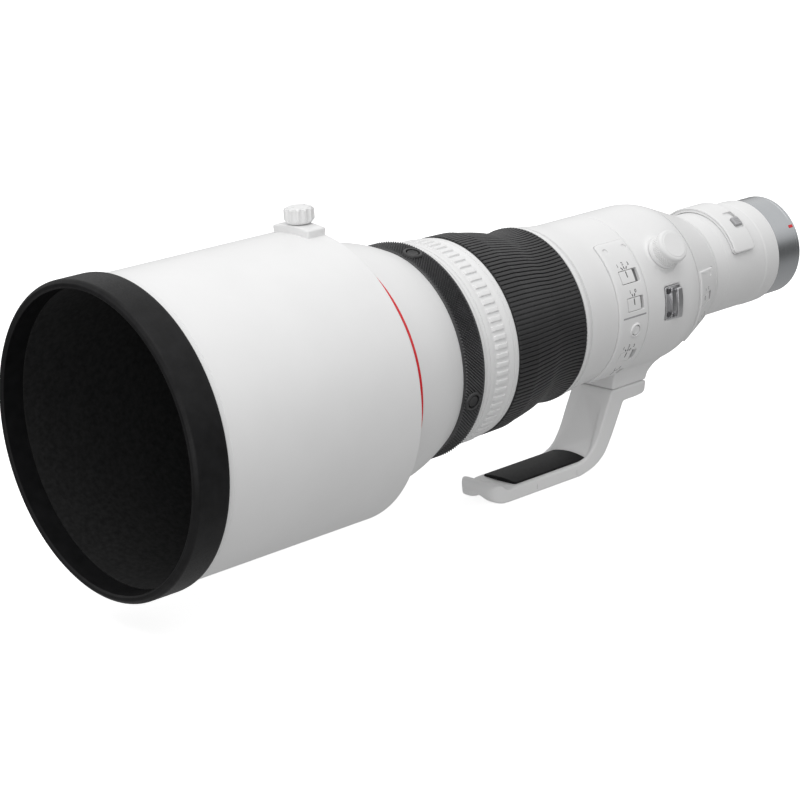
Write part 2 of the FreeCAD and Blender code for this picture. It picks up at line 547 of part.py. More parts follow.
# --- inside the barrel ---------------------------------------------------------------------
def make_inside():
    save("focus_cell", turned([(-314, 41.0), (-314, 47.0), (-296, 47.0), (-296, 41.0), (-298, 41.0),
                               (-298, 43.1), (-312, 43.1), (-312, 41.0)]))
    save("focus_lens_group", [lens(43.0, -311.0, -307.0, 0.9, 1.2), lens(43.0, -304.0, -300.5, -0.8, -0.8)])
    save("focus_motor_stator", tube(48.0, 52.9, -272, -264))
    save("focus_motor_rotor", fused([tube(48.2, 52.6, -263.6, -258), tube(47.8, 48.6, -263.6, -257)]))
    save("aperture_housing", turned([(-242, 26), (-242, 47.8), (-230, 47.8), (-230, 27.5), (-231.5, 27.5),
                                     (-231.5, 45.5), (-240.5, 45.5), (-240.5, 26)]))
    save("stabilizer_carrier", tube(33.0, 44.5, -213, -208))
    save("stabilizer_cell", turned([(-215, 22.5), (-215, 30.0), (-205, 30.0), (-205, 22.5), (-206, 22.5),
                                    (-206, 25.1), (-214, 25.1), (-214, 22.5)]))
    save("stabilizer_lens", lens(25.0, -212, -208.5, 0.8, 0.8))
    save("circuit_board", tube(34.0, 47.0, -141, -139.4))
    save("rear_lens_cell", turned([(-114, 20.0), (-114, 33.3), (-97, 33.3), (-97, 20.0), (-98.5, 20.0),
                                   (-98.5, 23.1), (-112.5, 23.1), (-112.5, 20.0)]))
    save("rear_lens_group", [lens(23.0, -111.5, -108.5, 0.6, 0.8), lens(23.0, -104.0, -101.0, -0.7, 1.2)])


make_front()
make_grip_ring()
make_main_tube()
make_rings()
make_middle()
make_cone()
make_rear_barrel()
make_mount()
make_hood()
make_collar()
make_foot()
make_inside()
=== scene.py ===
"""Looks of a super-telephoto lens with its hood, turning rings, switch panels, tripod collar and foot.

Frame: origin at the centre of the mount face, optical axis along Y with the front towards -Y, +Z up and the
switches on the +X side. Shapes are written in millimetres; angles run from +Z towards +X.
"""
import json
import math

import bmesh
import bpy
import numpy as np
from mathutils import Matrix, Vector


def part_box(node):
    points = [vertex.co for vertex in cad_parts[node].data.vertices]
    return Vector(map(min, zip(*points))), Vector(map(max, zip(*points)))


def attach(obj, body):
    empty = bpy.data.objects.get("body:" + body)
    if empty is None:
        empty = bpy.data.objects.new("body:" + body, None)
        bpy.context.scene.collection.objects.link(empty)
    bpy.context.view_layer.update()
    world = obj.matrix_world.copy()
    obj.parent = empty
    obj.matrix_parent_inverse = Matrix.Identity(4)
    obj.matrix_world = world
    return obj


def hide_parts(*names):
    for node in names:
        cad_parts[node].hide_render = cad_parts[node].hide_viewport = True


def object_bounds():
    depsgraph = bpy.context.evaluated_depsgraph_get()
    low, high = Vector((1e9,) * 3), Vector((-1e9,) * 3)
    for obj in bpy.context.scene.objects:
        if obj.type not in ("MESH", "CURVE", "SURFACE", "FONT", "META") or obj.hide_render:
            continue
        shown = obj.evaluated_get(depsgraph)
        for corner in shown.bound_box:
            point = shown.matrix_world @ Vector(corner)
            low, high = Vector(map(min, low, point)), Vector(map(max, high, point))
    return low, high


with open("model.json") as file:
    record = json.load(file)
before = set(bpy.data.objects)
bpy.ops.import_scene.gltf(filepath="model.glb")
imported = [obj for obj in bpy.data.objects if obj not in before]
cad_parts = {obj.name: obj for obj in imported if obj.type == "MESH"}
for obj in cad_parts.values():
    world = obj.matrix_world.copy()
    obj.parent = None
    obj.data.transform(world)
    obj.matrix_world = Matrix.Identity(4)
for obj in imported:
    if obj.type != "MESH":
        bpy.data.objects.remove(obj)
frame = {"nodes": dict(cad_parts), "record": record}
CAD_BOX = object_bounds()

MM = 0.001
SHARP = math.radians(38)  # edges that bend more than this stay crisp
SAME = 1e-4  # points of a piece that are closer than this are one, in mm
WELD = 1e-6  # the same for a CAD mesh, in m
STRAIGHT = 1.5  # half angle above which a corner is left as it is
SHARE = 0.48  # part of a side that the rounding of one corner may take
FOLD = 0.8  # least bend at a plate's edge that is bevelled
BEVEL_STEPS = 4
FACE_WEIGHT = 60
VOXEL = 0.7


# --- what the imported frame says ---
def span(node):
    """Front and rear of a CAD node along the optical axis."""
    low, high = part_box(node)
    return low.y / MM, high.y / MM


def reach(node):
    """Outer radius of a CAD node that is a full turn round the optical axis."""
    low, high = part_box(node)
    return (high.x - low.x) / 2 / MM


def centre_of(node):
    """Angle round the barrel, and the span along Y, of a small CAD node."""
    low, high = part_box(node)
    middle = (low + high) / 2
    return math.degrees(math.atan2(middle.x, middle.z)), low.y / MM, high.y / MM


# --- materials ---
def noise(nodes, links, scale, detail, roughness, stretch):
    """Noise that stays put on the object."""
    coordinate = nodes.new("ShaderNodeTexCoord")
    mapping = nodes.new("ShaderNodeMapping")
    mapping.inputs["Scale"].default_value = stretch
    texture = nodes.new("ShaderNodeTexNoise")
    texture.inputs["Scale"].default_value = scale
    texture.inputs["Detail"].default_value = detail
    texture.inputs["Roughness"].default_value = roughness
    links.new(coordinate.outputs["Object"], mapping.inputs["Vector"])
    links.new(mapping.outputs["Vector"], texture.inputs["Vector"])
    return texture.outputs["Fac"]


def between(nodes, links, factor, low, high, from_low=0.3, from_high=0.7):
    """Factor spread out between two values."""
    remap = nodes.new("ShaderNodeMapRange")
    remap.inputs["From Min"].default_value = from_low
    remap.inputs["From Max"].default_value = from_high
    remap.inputs["To Min"].default_value = low
    remap.inputs["To Max"].default_value = high
    links.new(factor, remap.inputs["Value"])
    return remap.outputs["Result"]


FINER = 9  # how much finer the roughness varies than the colour
FINISH = {}


def finish_of(name, colour, rough, spread, tint, patch, grains=(), stretch=(1, 1, 1), **shader):
    """Procedural material. grains are (scale, height in mm, weight) of the surface's fine relief."""
    made = bpy.data.materials.new(name)
    made.use_nodes = True
    nodes = made.node_tree.nodes
    links = made.node_tree.links
    principled = nodes["Principled BSDF"]
    for socket, value in shader.items():
        principled.inputs[socket.replace("_", " ")].default_value = value
    broad = noise(nodes, links, patch, 3.0, 0.55, stretch)
    ramp = nodes.new("ShaderNodeValToRGB")
    ramp.color_ramp.elements[0].position = 0.3
    ramp.color_ramp.elements[1].position = 0.7
    ramp.color_ramp.elements[0].color = [c * (1 - tint) for c in colour] + [1]
    ramp.color_ramp.elements[1].color = [min(1, c * (1 + tint)) for c in colour] + [1]
    links.new(broad, ramp.inputs["Fac"])
    links.new(ramp.outputs["Color"], principled.inputs["Base Color"])
    fine = noise(nodes, links, patch * FINER, 3.0, 0.6, stretch)
    links.new(between(nodes, links, fine, rough - spread, rough + spread), principled.inputs["Roughness"])
    before = None
    for scale, height, weight in grains:
        bump = nodes.new("ShaderNodeBump")
        bump.inputs["Strength"].default_value = weight
        bump.inputs["Distance"].default_value = height * MM
        links.new(noise(nodes, links, scale, 2.0, 0.55, stretch), bump.inputs["Height"])
        if before:
            links.new(before, bump.inputs["Normal"])
        before = bump.outputs["Normal"]
    if before:
        links.new(before, principled.inputs["Normal"])
    FINISH[name] = made
    return made


def round_tangent(made, axis):
    """Machining lines that run round an axis."""
    nodes = made.node_tree.nodes
    tangent = nodes.new("ShaderNodeTangent")
    tangent.direction_type = "RADIAL"
    tangent.axis = axis
    made.node_tree.links.new(tangent.outputs["Tangent"], nodes["Principled BSDF"].inputs["Tangent"])


finish_of("white_paint", (0.80, 0.80, 0.80), 0.42, 0.05, 0.012, 30, [(900, 0.04, 0.6), (2600, 0.012, 0.5)],
    Coat_Weight=0.08, Coat_Roughness=0.35)
finish_of("red_paint", (0.70, 0.012, 0.02), 0.35, 0.05, 0.05, 60, [(1500, 0.01, 0.4)])
finish_of("black_anodised", (0.022, 0.022, 0.023), 0.42, 0.06, 0.12, 60, [(1800, 0.012, 0.5)])
finish_of("black_rubber", (0.025, 0.025, 0.026), 0.48, 0.07, 0.15, 50,
    [(1300, 0.02, 0.5), (4000, 0.008, 0.5)])
finish_of("black_plastic", (0.026, 0.026, 0.027), 0.45, 0.06, 0.10, 60, [(2200, 0.012, 0.5)])
finish_of("black_flock", (0.020, 0.020, 0.0203), 0.95, 0.03, 0.3, 300, [(3500, 0.05, 0.7)], Sheen_Weight=0.02,
    Sheen_Roughness=0.5, Specular_IOR_Level=0.1)
finish_of("coated_glass", (0.90, 0.97, 0.93), 0.02, 0.01, 0.02, 12, (), Transmission_Weight=0.95, IOR=1.6,
    Thin_Film_Thickness=380.0, Thin_Film_IOR=1.38)
finish_of("clear_glass", (0.95, 0.97, 0.96), 0.02, 0.01, 0.02, 12, (), Transmission_Weight=0.95, IOR=1.52)
finish_of("mount_steel", (0.50, 0.515, 0.53), 0.24, 0.012, 0.02, 9, [(500, 0.002, 0.15)], (1, 5, 1),
    Metallic=1.0, Anisotropic=0.45)
finish_of("dark_steel", (0.16, 0.16, 0.165), 0.36, 0.06, 0.1, 200, [(2500, 0.01, 0.5)], Metallic=1.0)
finish_of("lug_steel", (0.62, 0.62, 0.63), 0.33, 0.06, 0.06, 150, [(2200, 0.012, 0.5)], Metallic=1.0)
finish_of("gold_contacts", (0.83, 0.62, 0.28), 0.25, 0.05, 0.05, 400, [(3000, 0.005, 0.4)], Metallic=1.0)
finish_of("bearing_brass", (0.66, 0.50, 0.25), 0.35, 0.06, 0.08, 200, [(1500, 0.01, 0.4)], Metallic=1.0)
finish_of("motor_metal", (0.45, 0.44, 0.43), 0.38, 0.06, 0.08, 200, [(1500, 0.01, 0.4)], Metallic=1.0)
finish_of("white_plastic", (0.80, 0.80, 0.80), 0.38, 0.05, 0.012, 60, [(1800, 0.012, 0.4)])
finish_of("grey_plastic", (0.17, 0.17, 0.175), 0.42, 0.05, 0.06, 80, [(2000, 0.014, 0.5)])
finish_of("circuit_green", (0.02, 0.14, 0.06), 0.4, 0.06, 0.15, 150, [(900, 0.03, 0.5)])
round_tangent(FINISH["mount_steel"], "Y")
INK = finish_of("printed_ink", (0.035, 0.035, 0.037), 0.5, 0.05, 0.15, 300, [(3000, 0.006, 0.4)])
# Mid grey of the panel's dividing line: painted shade that stands for the shadow in a groove, which is not
# modelled.
GROOVE_SHADE_GREY = finish_of("painted_groove_shade", (0.36, 0.36, 0.37), 0.6, 0.05, 0.1, 200, [(2000, 0.01, 0.5)])
TAB_GREY = finish_of("tab_grey", (0.40, 0.40, 0.41), 0.4, 0.05, 0.05, 120, [(2200, 0.012, 0.5)])
GRIP_RUBBER = finish_of("grip_rubber", (0.042, 0.042, 0.044), 0.38, 0.06, 0.2, 150, [(3000, 0.01, 0.4)],
    Specular_IOR_Level=0.6)
MATTE_RUBBER = finish_of("matte_rubber", (0.0085, 0.0085, 0.009), 0.46, 0.08, 0.3, 120,
    [(1500, 0.03, 0.7), (4000, 0.01, 0.6)], Specular_IOR_Level=0.16)
PAD_RUBBER = finish_of("pad_rubber", (0.010, 0.010, 0.0105), 0.52, 0.08, 0.4, 400,
    [(1500, 0.06, 0.9), (4000, 0.01, 0.6)], Specular_IOR_Level=0.12)
BOSS_RUBBER = finish_of("boss_rubber", (0.032, 0.032, 0.033), 0.38, 0.05, 0.1, 90, [(2500, 0.01, 0.4)])

for row in frame["record"]["subparts"]:
    mesh = frame["nodes"][row["node"]].data
    mesh.materials.clear()
    mesh.materials.append(FINISH[row["material_slot"]])


# --- mesh helpers ---
def eased(points, per=6):
    """Smooth line through points."""
    p = [np.array(q, float) for q in points]
    p = [2 * p[0] - p[1]] + p + [2 * p[-1] - p[-2]]
    line = []
    for a, b, c, d in zip(p, p[1:], p[2:], p[3:]):
        for i in range(per):
            t = i / per
            line.append(0.5 * (2 * b + (c - a) * t + (2 * a - 5 * b + 4 * c - d) * t * t
                               + (3 * b - a - 3 * c + d) * t ** 3))
    return [tuple(q) for q in line] + [tuple(points[-1])]


def softened(points, radius, steps=4):
    """Round the corners of an outline. A point's third number is its own corner radius."""
    out = []
    for i, point in enumerate(points):
        own = point[2] if len(point) > 2 else radius
        here = np.array(point[:2], float)
        if own <= 0:
            out.append(tuple(here))
            continue
        back = np.array(points[i - 1][:2], float) - here
        ahead = np.array(points[(i + 1) % len(points)][:2], float) - here
        long_back = np.linalg.norm(back)
        long_ahead = np.linalg.norm(ahead)
        if min(long_back, long_ahead) < 1e-9:
            continue
        back /= long_back
        ahead /= long_ahead
        half = math.acos(max(-1, min(1, float(back @ ahead)))) / 2
        if half > STRAIGHT:
            out.append(tuple(here))
            continue
        cut = min(own / math.tan(half), SHARE * min(long_back, long_ahead))
        start = here + back * cut
        end = here + ahead * cut
        for k in range(steps + 1):
            t = k / steps
            out.append(tuple(start * (1 - t) ** 2 + here * 2 * t * (1 - t) + end * t * t))
    return out


def mesh_of(name, bm):
    """Mesh in metres made of a bmesh in millimetres, which is used up."""
    bmesh.ops.remove_doubles(bm, verts=bm.verts[:], dist=SAME)
    bmesh.ops.recalc_face_normals(bm, faces=bm.faces[:])
    bmesh.ops.scale(bm, vec=(MM, MM, MM), verts=bm.verts[:])
    data = bpy.data.meshes.new(name)
    bm.to_mesh(data)
    bm.free()
    return data


def linked(name, data):
    """New object in the scene."""
    made = bpy.data.objects.new(name, data)
    bpy.context.scene.collection.objects.link(made)
    return made


def shaded(piece, sharp, weighted):
    """Shade a piece smooth, except across edges that bend more than sharp."""
    piece.data.shade_smooth()
    piece.data.set_sharp_from_angle(angle=sharp)
    if weighted:
        modifier = piece.modifiers.new("weighted", "WEIGHTED_NORMAL")
        modifier.keep_sharp = True
        modifier.weight = FACE_WEIGHT


def made_piece(name, bm, body, slot, replaced=(), material=None, sharp=SHARP, weighted=True):
    """Turn a bmesh in millimetres into a piece that rides on a body."""
    piece = linked(name, mesh_of(name, bm))
    piece.data.materials.append(material or FINISH[slot])
    shaded(piece, sharp, weighted)
    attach(piece, body)
    if replaced:
        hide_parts(*replaced)
    return piece


def add_rows(bm, rows, around, closed, diamonds=(), cap=False):
    """Skin rows of points. In the rows of diamonds, quads split so that raised points become pyramids."""
    grid = [[bm.verts.new(p) for p in row] for row in rows]
    count = len(rows[0])
    for j in range(len(rows) if closed else len(rows) - 1):
        lower = grid[j]
        upper = grid[(j + 1) % len(rows)]
        for i in range(count if around else count - 1):
            k = (i + 1) % count
            quad = (lower[i], lower[k], upper[k], upper[i])
            if j in diamonds:
                if (i + j) % 2:
                    bm.faces.new((quad[0], quad[1], quad[2]))
                    bm.faces.new((quad[0], quad[2], quad[3]))
                else:
                    bm.faces.new((quad[0], quad[1], quad[3]))
                    bm.faces.new((quad[1], quad[2], quad[3]))
            else:
                bm.faces.new(quad)
    if cap:
        bm.faces.new([row[0] for row in grid])
        bm.faces.new([row[-1] for row in reversed(grid)])


def turn(bm, profile, segments=None, start=0.0, end=360.0, angles=None, lift=None, diamonds=()):
    """Turn a closed (y, r) profile round the optical axis. lift(row, angles) adds to the radius."""
    full = end - start >= 360
    if angles is None:
        angles = np.linspace(start, end, segments if full else segments + 1, endpoint=not full)
    angles = np.radians(angles)
    rows = []
    for j, (y, r) in enumerate(profile):
        radius = (r + (lift(j, angles) if lift else 0.0)) * np.ones(len(angles))
        rows.append(np.stack([radius * np.sin(angles), np.full(len(angles), y), radius * np.cos(angles)], 1))
    add_rows(bm, rows, full, True, diamonds, cap=not full)


def ring(name, profile, body, slot, replaced, segments=240, material=None):
    """Piece that is a full turn of a (y, r) profile."""
    bm = bmesh.new()
    turn(bm, profile, segments)
    return made_piece(name, bm, body, slot, replaced, material)


def spin(bm, profile, y, angle, segments, shape=None, diamonds=()):
    """Turn an (r, height) profile round an axis that points out of the barrel. Its ends lie on that axis."""
    turns = np.radians(np.linspace(0, 360, segments, endpoint=False))
    place = Matrix.Translation((0, y, 0)) @ Matrix.Rotation(math.radians(angle), 4, "Y")
    rows = []
    for j, (r, h) in enumerate(profile):
        radius = shape(j, r, turns) if shape else np.full(segments, r)
        rows.append([place @ Vector((a * math.cos(t), a * math.sin(t), h)) for a, t in zip(radius, turns)])
    add_rows(bm, rows, True, False, diamonds)


def circle(x, y, r, count=32):
    return [(x + r * math.cos(2 * math.pi * i / count), y + r * math.sin(2 * math.pi * i / count))
        for i in range(count)]


def block(x0, x1, y0, y1, corner, steps=5):
    return softened([(x0, y0), (x1, y0), (x1, y1), (x0, y1)], corner, steps)


def sliced(bm, places, normal):
    """Add an edge loop where planes across a bmesh cut it."""
    for place in places:
        bmesh.ops.bisect_plane(bm, geom=bm.verts[:] + bm.edges[:] + bm.faces[:],
            plane_co=normal * float(place), plane_no=normal, dist=SAME)


def plate(bm, outlines, low, high, bevel, place, step=1.5, across=()):
    """Plate whose first outline is its rim and the rest are holes. bevel rounds the top edge of the rim and
    of the holes, or is a pair of sizes for the two. place(s, t, h) bends the plate."""
    part = bmesh.new()
    for outline in outlines:
        points = [part.verts.new((p[0], p[1], low)) for p in outline]
        for a, b in zip(points, points[1:] + points[:1]):
            part.edges.new((a, b))
    bmesh.ops.triangle_fill(part, use_beauty=True, edges=part.edges[:])
    raised = bmesh.ops.extrude_face_region(part, geom=part.faces[:])
    for item in raised["geom"]:
        if isinstance(item, bmesh.types.BMVert):
            item.co.z = high
    bmesh.ops.recalc_face_normals(part, faces=part.faces[:])
    outer = {(round(p[0], 3), round(p[1], 3)) for p in outlines[0]}
    of_rim, of_holes = bevel if isinstance(bevel, tuple) else (bevel, bevel)
    for on_rim, size in ((False, of_holes), (True, of_rim)):
        edges = [e for e in part.edges if len(e.link_faces) == 2
                 and all(v.co.z > high - 1e-6 for v in e.verts) and e.calc_face_angle(0) > FOLD
                 and all((round(v.co.x, 3), round(v.co.y, 3)) in outer for v in e.verts) == on_rim]
        if size > 0 and edges:
            bmesh.ops.bevel(part, geom=edges, offset=size, segments=BEVEL_STEPS, profile=0.5, affect="EDGES",
                clamp_overlap=False)
    if step:
        sides = [v.co.x for v in part.verts]
        sliced(part, np.arange(min(sides) + step, max(sides), step), Vector((1, 0, 0)))
    sliced(part, across, Vector((0, 1, 0)))
    for v in part.verts:
        v.co = place(v.co.x, v.co.y, v.co.z)
    data = bpy.data.meshes.new("part")
    part.to_mesh(data)
    part.free()
    bm.from_mesh(data)
    bpy.data.meshes.remove(data)


def wrapped(angle, base):
    """Bend onto the barrel: s runs round it from an angle, t is Y, and base is the radius at height 0."""
    def place(s, t, h):
        turned = math.radians(angle) + s / base
        return Vector(((base + h) * math.sin(turned), t, (base + h) * math.cos(turned)))
    return place


def flat(s, t, h):
    """Leave a plate level, with s along X and t along Y."""
    return Vector((s, t, h))


def solid(profile_maker):
    """Stand-alone cutter made by a function that fills a bmesh."""
    bm = bmesh.new()
    profile_maker(bm)
    return linked("cutter", mesh_of("cutter", bm))


def combine(piece, cutters, operation="DIFFERENCE", sharp=SHARP):
    """Cut or trim a piece with cutters, and keep the result as its mesh."""
    weighted = len(piece.modifiers) > 0
    piece.modifiers.clear()
    for cutter in cutters:
        modifier = piece.modifiers.new("cut", "BOOLEAN")
        modifier.object = cutter
        modifier.operation = operation
        modifier.solver = "EXACT"
    applied(piece)
    for cutter in cutters:
        old = cutter.data
        bpy.data.objects.remove(cutter)
        bpy.data.meshes.remove(old)
    shaded(piece, sharp, weighted)


def applied(piece):
    """Replace a piece's mesh by what its modifiers make of it."""
    bpy.context.view_layer.update()
    graph = bpy.context.evaluated_depsgraph_get()
    result = bpy.data.meshes.new_from_object(piece.evaluated_get(graph))
    piece.modifiers.clear()
    old = piece.data
    name = old.name
    piece.data = result
    bpy.data.meshes.remove(old)
    result.name = name


def welded(thing):
    """Join the doubled points of a CAD mesh."""
    modifier = thing.modifiers.new("weld", "WELD")
    modifier.merge_threshold = WELD


def melted(piece, passes):
    """Blend the corners of a piece with a fine remesh and some smoothing."""
    fine = piece.modifiers.new("remesh", "REMESH")
    fine.mode = "VOXEL"
    fine.voxel_size = VOXEL * MM
    fine.use_smooth_shade = True
    smooth = piece.modifiers.new("smooth", "SMOOTH")
    smooth.factor = 0.5
    smooth.iterations = passes
    applied(piece)
    piece.data.shade_smooth()


# --- hood ---
hood_front, sleeve_rear = span("hood_tube")
hood_rear = sleeve_rear - 8.0
rim_front, rim_rear = span("hood_front_rubber")
rim_r = reach("hood_front_rubber")
hood_r = reach("hood_tube")
hood_rear_r = hood_r - 0.4
lining_front, lining_rear = span("hood_lining")

groove_y = rim_rear + 4.6
ring("hood_shell", softened([(hood_front, hood_r - 1.8, 0), (hood_front, hood_r, 0),
    (groove_y - 0.25, hood_r, 0.05), (groove_y, hood_r - 0.22, 0.05), (groove_y + 0.25, hood_r, 0.05),
    (hood_rear, hood_rear_r, 0.6), (hood_rear, 84.6, 0.4), (hood_rear + 7.2, 84.6, 0.3),
    (hood_rear + 8.0, 83.8, 0.3), (hood_rear + 8.0, 81.58, 0), (hood_rear - 2.5, 81.58, 0),
    (hood_rear - 2.5, hood_rear_r - 1.8, 0)], 0.3), "hood", "white_paint", ["hood_tube"], 320)

ring("hood_rim", softened([(rim_rear, hood_r + 0.05, 0), (rim_rear, rim_r - 1.1, 0.2),
    (rim_rear - 1.0, rim_r - 0.2, 0.6), (rim_rear - 2.4, rim_r, 1.0), (rim_front + 2.0, rim_r, 2.6),
    (rim_front, rim_r - 2.4, 1.8), (rim_front, 93.2, 0.8), (rim_front + 1.0, 92.0, 0.6),
    (lining_front - 0.1, 92.0, 0.3), (lining_front - 0.1, hood_r + 0.05, 0)], 0.2, 6), "hood", "black_rubber",
    ["hood_front_rubber"], 320, MATTE_RUBBER)

ring("hood_flock", softened([(lining_front, 91.7, 0.2), (lining_front, 92.5, 0), (lining_rear, 92.5, 0),
    (lining_rear, 82.0, 0.3), (lining_rear - 0.7, 82.0, 0.3), (lining_rear - 0.7, 91.7, 0.5)], 0.2), "hood",
    "black_flock", ["hood_lining"], 320)

pad_front, pad_rear = span("hood_knob_saddle")
pad_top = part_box("hood_knob_saddle")[1].z / MM
pad_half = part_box("hood_knob_saddle")[1].x / MM
bm = bmesh.new()
plate(bm, [block(-pad_half + 0.4, pad_half - 0.4, pad_front, pad_rear, 1.6)], -1.2, pad_top - hood_r + 0.4,
    1.3, wrapped(0, hood_r - 0.4))
made_piece("hood_knob_pad", bm, "hood", "white_paint", ["hood_knob_saddle"])

knob_y = sum(span("hood_clamp_screw")) / 2
knob_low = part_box("hood_lock_knob")[0].z / MM
knob_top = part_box("hood_lock_knob")[1].z / MM
knob_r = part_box("hood_lock_knob")[1].x / MM


FLUTES = 12
FLUTE_R = 1.9
BITE = 1.45  # depth of a flute
FLUTED_ROWS = range(2, 9)


def fluted(row, r, turns):
    """Radius of a knob whose rim has round scallops."""
    if row not in FLUTED_ROWS:
        return np.full(len(turns), r)
    centre = knob_r + FLUTE_R - BITE
    step = 2 * math.pi / FLUTES
    off = (turns + step / 2) % step - step / 2
    across = centre * np.sin(off)
    bitten = centre * np.cos(off) - np.sqrt(np.clip(FLUTE_R ** 2 - across ** 2, 0, None))
    return np.minimum(r, np.where((np.abs(across) < FLUTE_R) & (np.cos(off) > 0), bitten, r))


knob_profile = [(0, knob_low), (7.4, knob_low), (7.6, knob_low + 0.2), (8.6, knob_low + 1.2),
    (knob_r - 0.15, knob_low + 2.0), (knob_r, knob_low + 2.8), (knob_r, knob_top - 2.0),
    (knob_r - 0.3, knob_top - 1.2), (knob_r - 0.9, knob_top - 0.7), (knob_r - 1.9, knob_top - 0.5),
    (knob_r - 2.2, knob_top - 0.45), (knob_r - 2.35, knob_top - 0.1), (knob_r - 2.7, knob_top), (0, knob_top)]
bm = bmesh.new()
spin(bm, knob_profile, knob_y, 0, 288, fluted)
hood_knob = made_piece("hood_knob_cap", bm, "hood_knob", "white_plastic", ["hood_lock_knob"])
combine(hood_knob, [
    solid(lambda b, sx=sx: spin(b, [(0, knob_top - 1.2), (0.75, knob_top - 1.2), (0.75, knob_top + 1),
                                    (0, knob_top + 1)],
                                knob_y + sx, 0, 24)) for sx in (-4.6, 4.6)])


# --- front barrel ---
barrel_front, bell_rear = span("front_barrel")
bell_r = reach("front_barrel")
accent_front, accent_rear = [y - 1.0 for y in span("red_accent_ring")]
bell = eased([(accent_rear + 0.6, bell_r), (-411, 81.0), (-404, 79.9), (-396, 78.2), (-389, 76.2),
    (-383, 73.9), (-378, 71.8), (bell_rear, 69.5)], 5)
ring("bell_barrel", softened([(barrel_front, 79.2, 0.1), (barrel_front, bell_r, 0.5),
    (accent_front - 0.05, bell_r, 0.1), (accent_front - 0.05, bell_r - 1, 0),
    (accent_rear + 0.05, bell_r - 1, 0), (accent_rear + 0.05, bell_r - 0.25, 0)], 0.2, 3) + bell[:-1]
    + [(bell_rear, 69.5), (bell_rear, 66.6), (-378, 68.9), (-389, 73.4), (-400, 76.4), (-410, 78.2),
    (-414, 79.2)], "barrel", "white_paint", ["front_barrel"], 320)
ring("accent_ring", softened([(accent_front, bell_r - 0.9, 0), (accent_front, bell_r + 0.1, 0.15),
    (accent_rear, bell_r + 0.1, 0.15), (accent_rear, bell_r - 0.9, 0)], 0.1), "barrel", "red_paint",
    ["red_accent_ring"], 320)

keeper_front, keeper_rear = span("front_retaining_ring")
bm = bmesh.new()
turn(bm, softened([(keeper_rear, 71.7), (keeper_front + 1.6, 71.8, 0.3), (keeper_front + 0.1, 73.6, 0.4),
    (keeper_front, 77.4, 0.2), (keeper_front + 0.5, 77.6, 0.1), (keeper_front + 0.5, 77.9, 0.1),
    (keeper_front, 78.1, 0.2), (keeper_front, 79.05, 0.2), (keeper_rear, 79.05, 0)], 0.1), 320)
keeper = made_piece("lens_keeper_ring", bm, "barrel", "black_anodised", ["front_retaining_ring"])
combine(keeper, [solid(lambda b, a=a: turn(b, [(keeper_front - 1, 75.2), (keeper_front + 0.9, 75.2),
                                              (keeper_front + 0.9, 76.8), (keeper_front - 1, 76.8)], 4,
                                              a - 1.2, a + 1.2))
                 for a in (0, 90, 180, 270)])
cell_front, cell_rear = span("front_lens_cell")
ring("front_cell", softened([(cell_front, 71.25), (cell_front, 79.0), (-414, 79.0), (-410, 78.0),
    (-400, 76.2), (-389, 73.2), (-378, 68.5), (cell_rear, 66.0), (cell_rear, 62.0), (-378, 62.0),
    (-378, 66.2), (-382, 66.2), (-382, 67.4), (-385, 67.4), (-385, 66.2), (-399, 66.2), (-399, 69.0),
    (-401, 69.0), (-401, 67.8), (-402.5, 67.8), (-402.5, 69.0), (-404, 69.0), (-404, 66.2), (-408, 66.2),
    (-408, 71.25)], 0.1, 2), "barrel", "black_anodised", ["front_lens_cell"])


DOME_POINTS = 14


def dome(edge_y, middle_y, radius):
    """Points of a spherical face from its edge to its middle."""
    return [(edge_y + (middle_y - edge_y) * (1 - (r / radius) ** 2), r)
        for r in np.linspace(radius, 0, DOME_POINTS)]


glass_front, _ = span("front_lens_group")
bm = bmesh.new()
for face_r, (edge_y, middle_y), (rear_edge_y, rear_middle_y) in ((71.0, (-424.8, glass_front),
        (-413.0, -411.5)), (66.0, (-396.0, -398.5), (-386.0, -387.5))):
    turn(bm, dome(edge_y, middle_y, face_r) + dome(rear_edge_y, rear_middle_y, face_r)[::-1], 160)
made_piece("front_glass", bm, "barrel", "coated_glass", ["front_lens_group"], sharp=math.radians(60))


# --- grip ring with its buttons ---
grip_front, grip_rear = span("grip_ring")
grip_r = 71.3
KNURLS = 408
KNURL_HEIGHT = 1.4
KNURL_SHARP = math.radians(8)
GRIP_ROWS = 14
grip_y = np.linspace(grip_front + 0.9, grip_rear - 0.9, GRIP_ROWS + 1)
lead = [(grip_front, 61.6), (grip_front, grip_r - 1.3), (grip_front + 0.45, grip_r - 1.0)]
tail = [(grip_rear - 0.45, grip_r - 1.0), (grip_rear, grip_r - 1.3), (grip_rear, 61.6)]
band = [(y, grip_r - 1.0) for y in grip_y]
first = len(lead)


def grip_lift(row, angles):
    if not first < row < first + GRIP_ROWS:
        return 0.0
    return np.where((np.arange(len(angles)) + row) % 2 == 0, KNURL_HEIGHT, 0.0)


bm = bmesh.new()
turn(bm, lead + band + tail, KNURLS, lift=grip_lift, diamonds=range(first, first + GRIP_ROWS))
grip = made_piece("grip_knurl", bm, "barrel", "black_rubber", ["grip_ring"], GRIP_RUBBER, KNURL_SHARP, False)

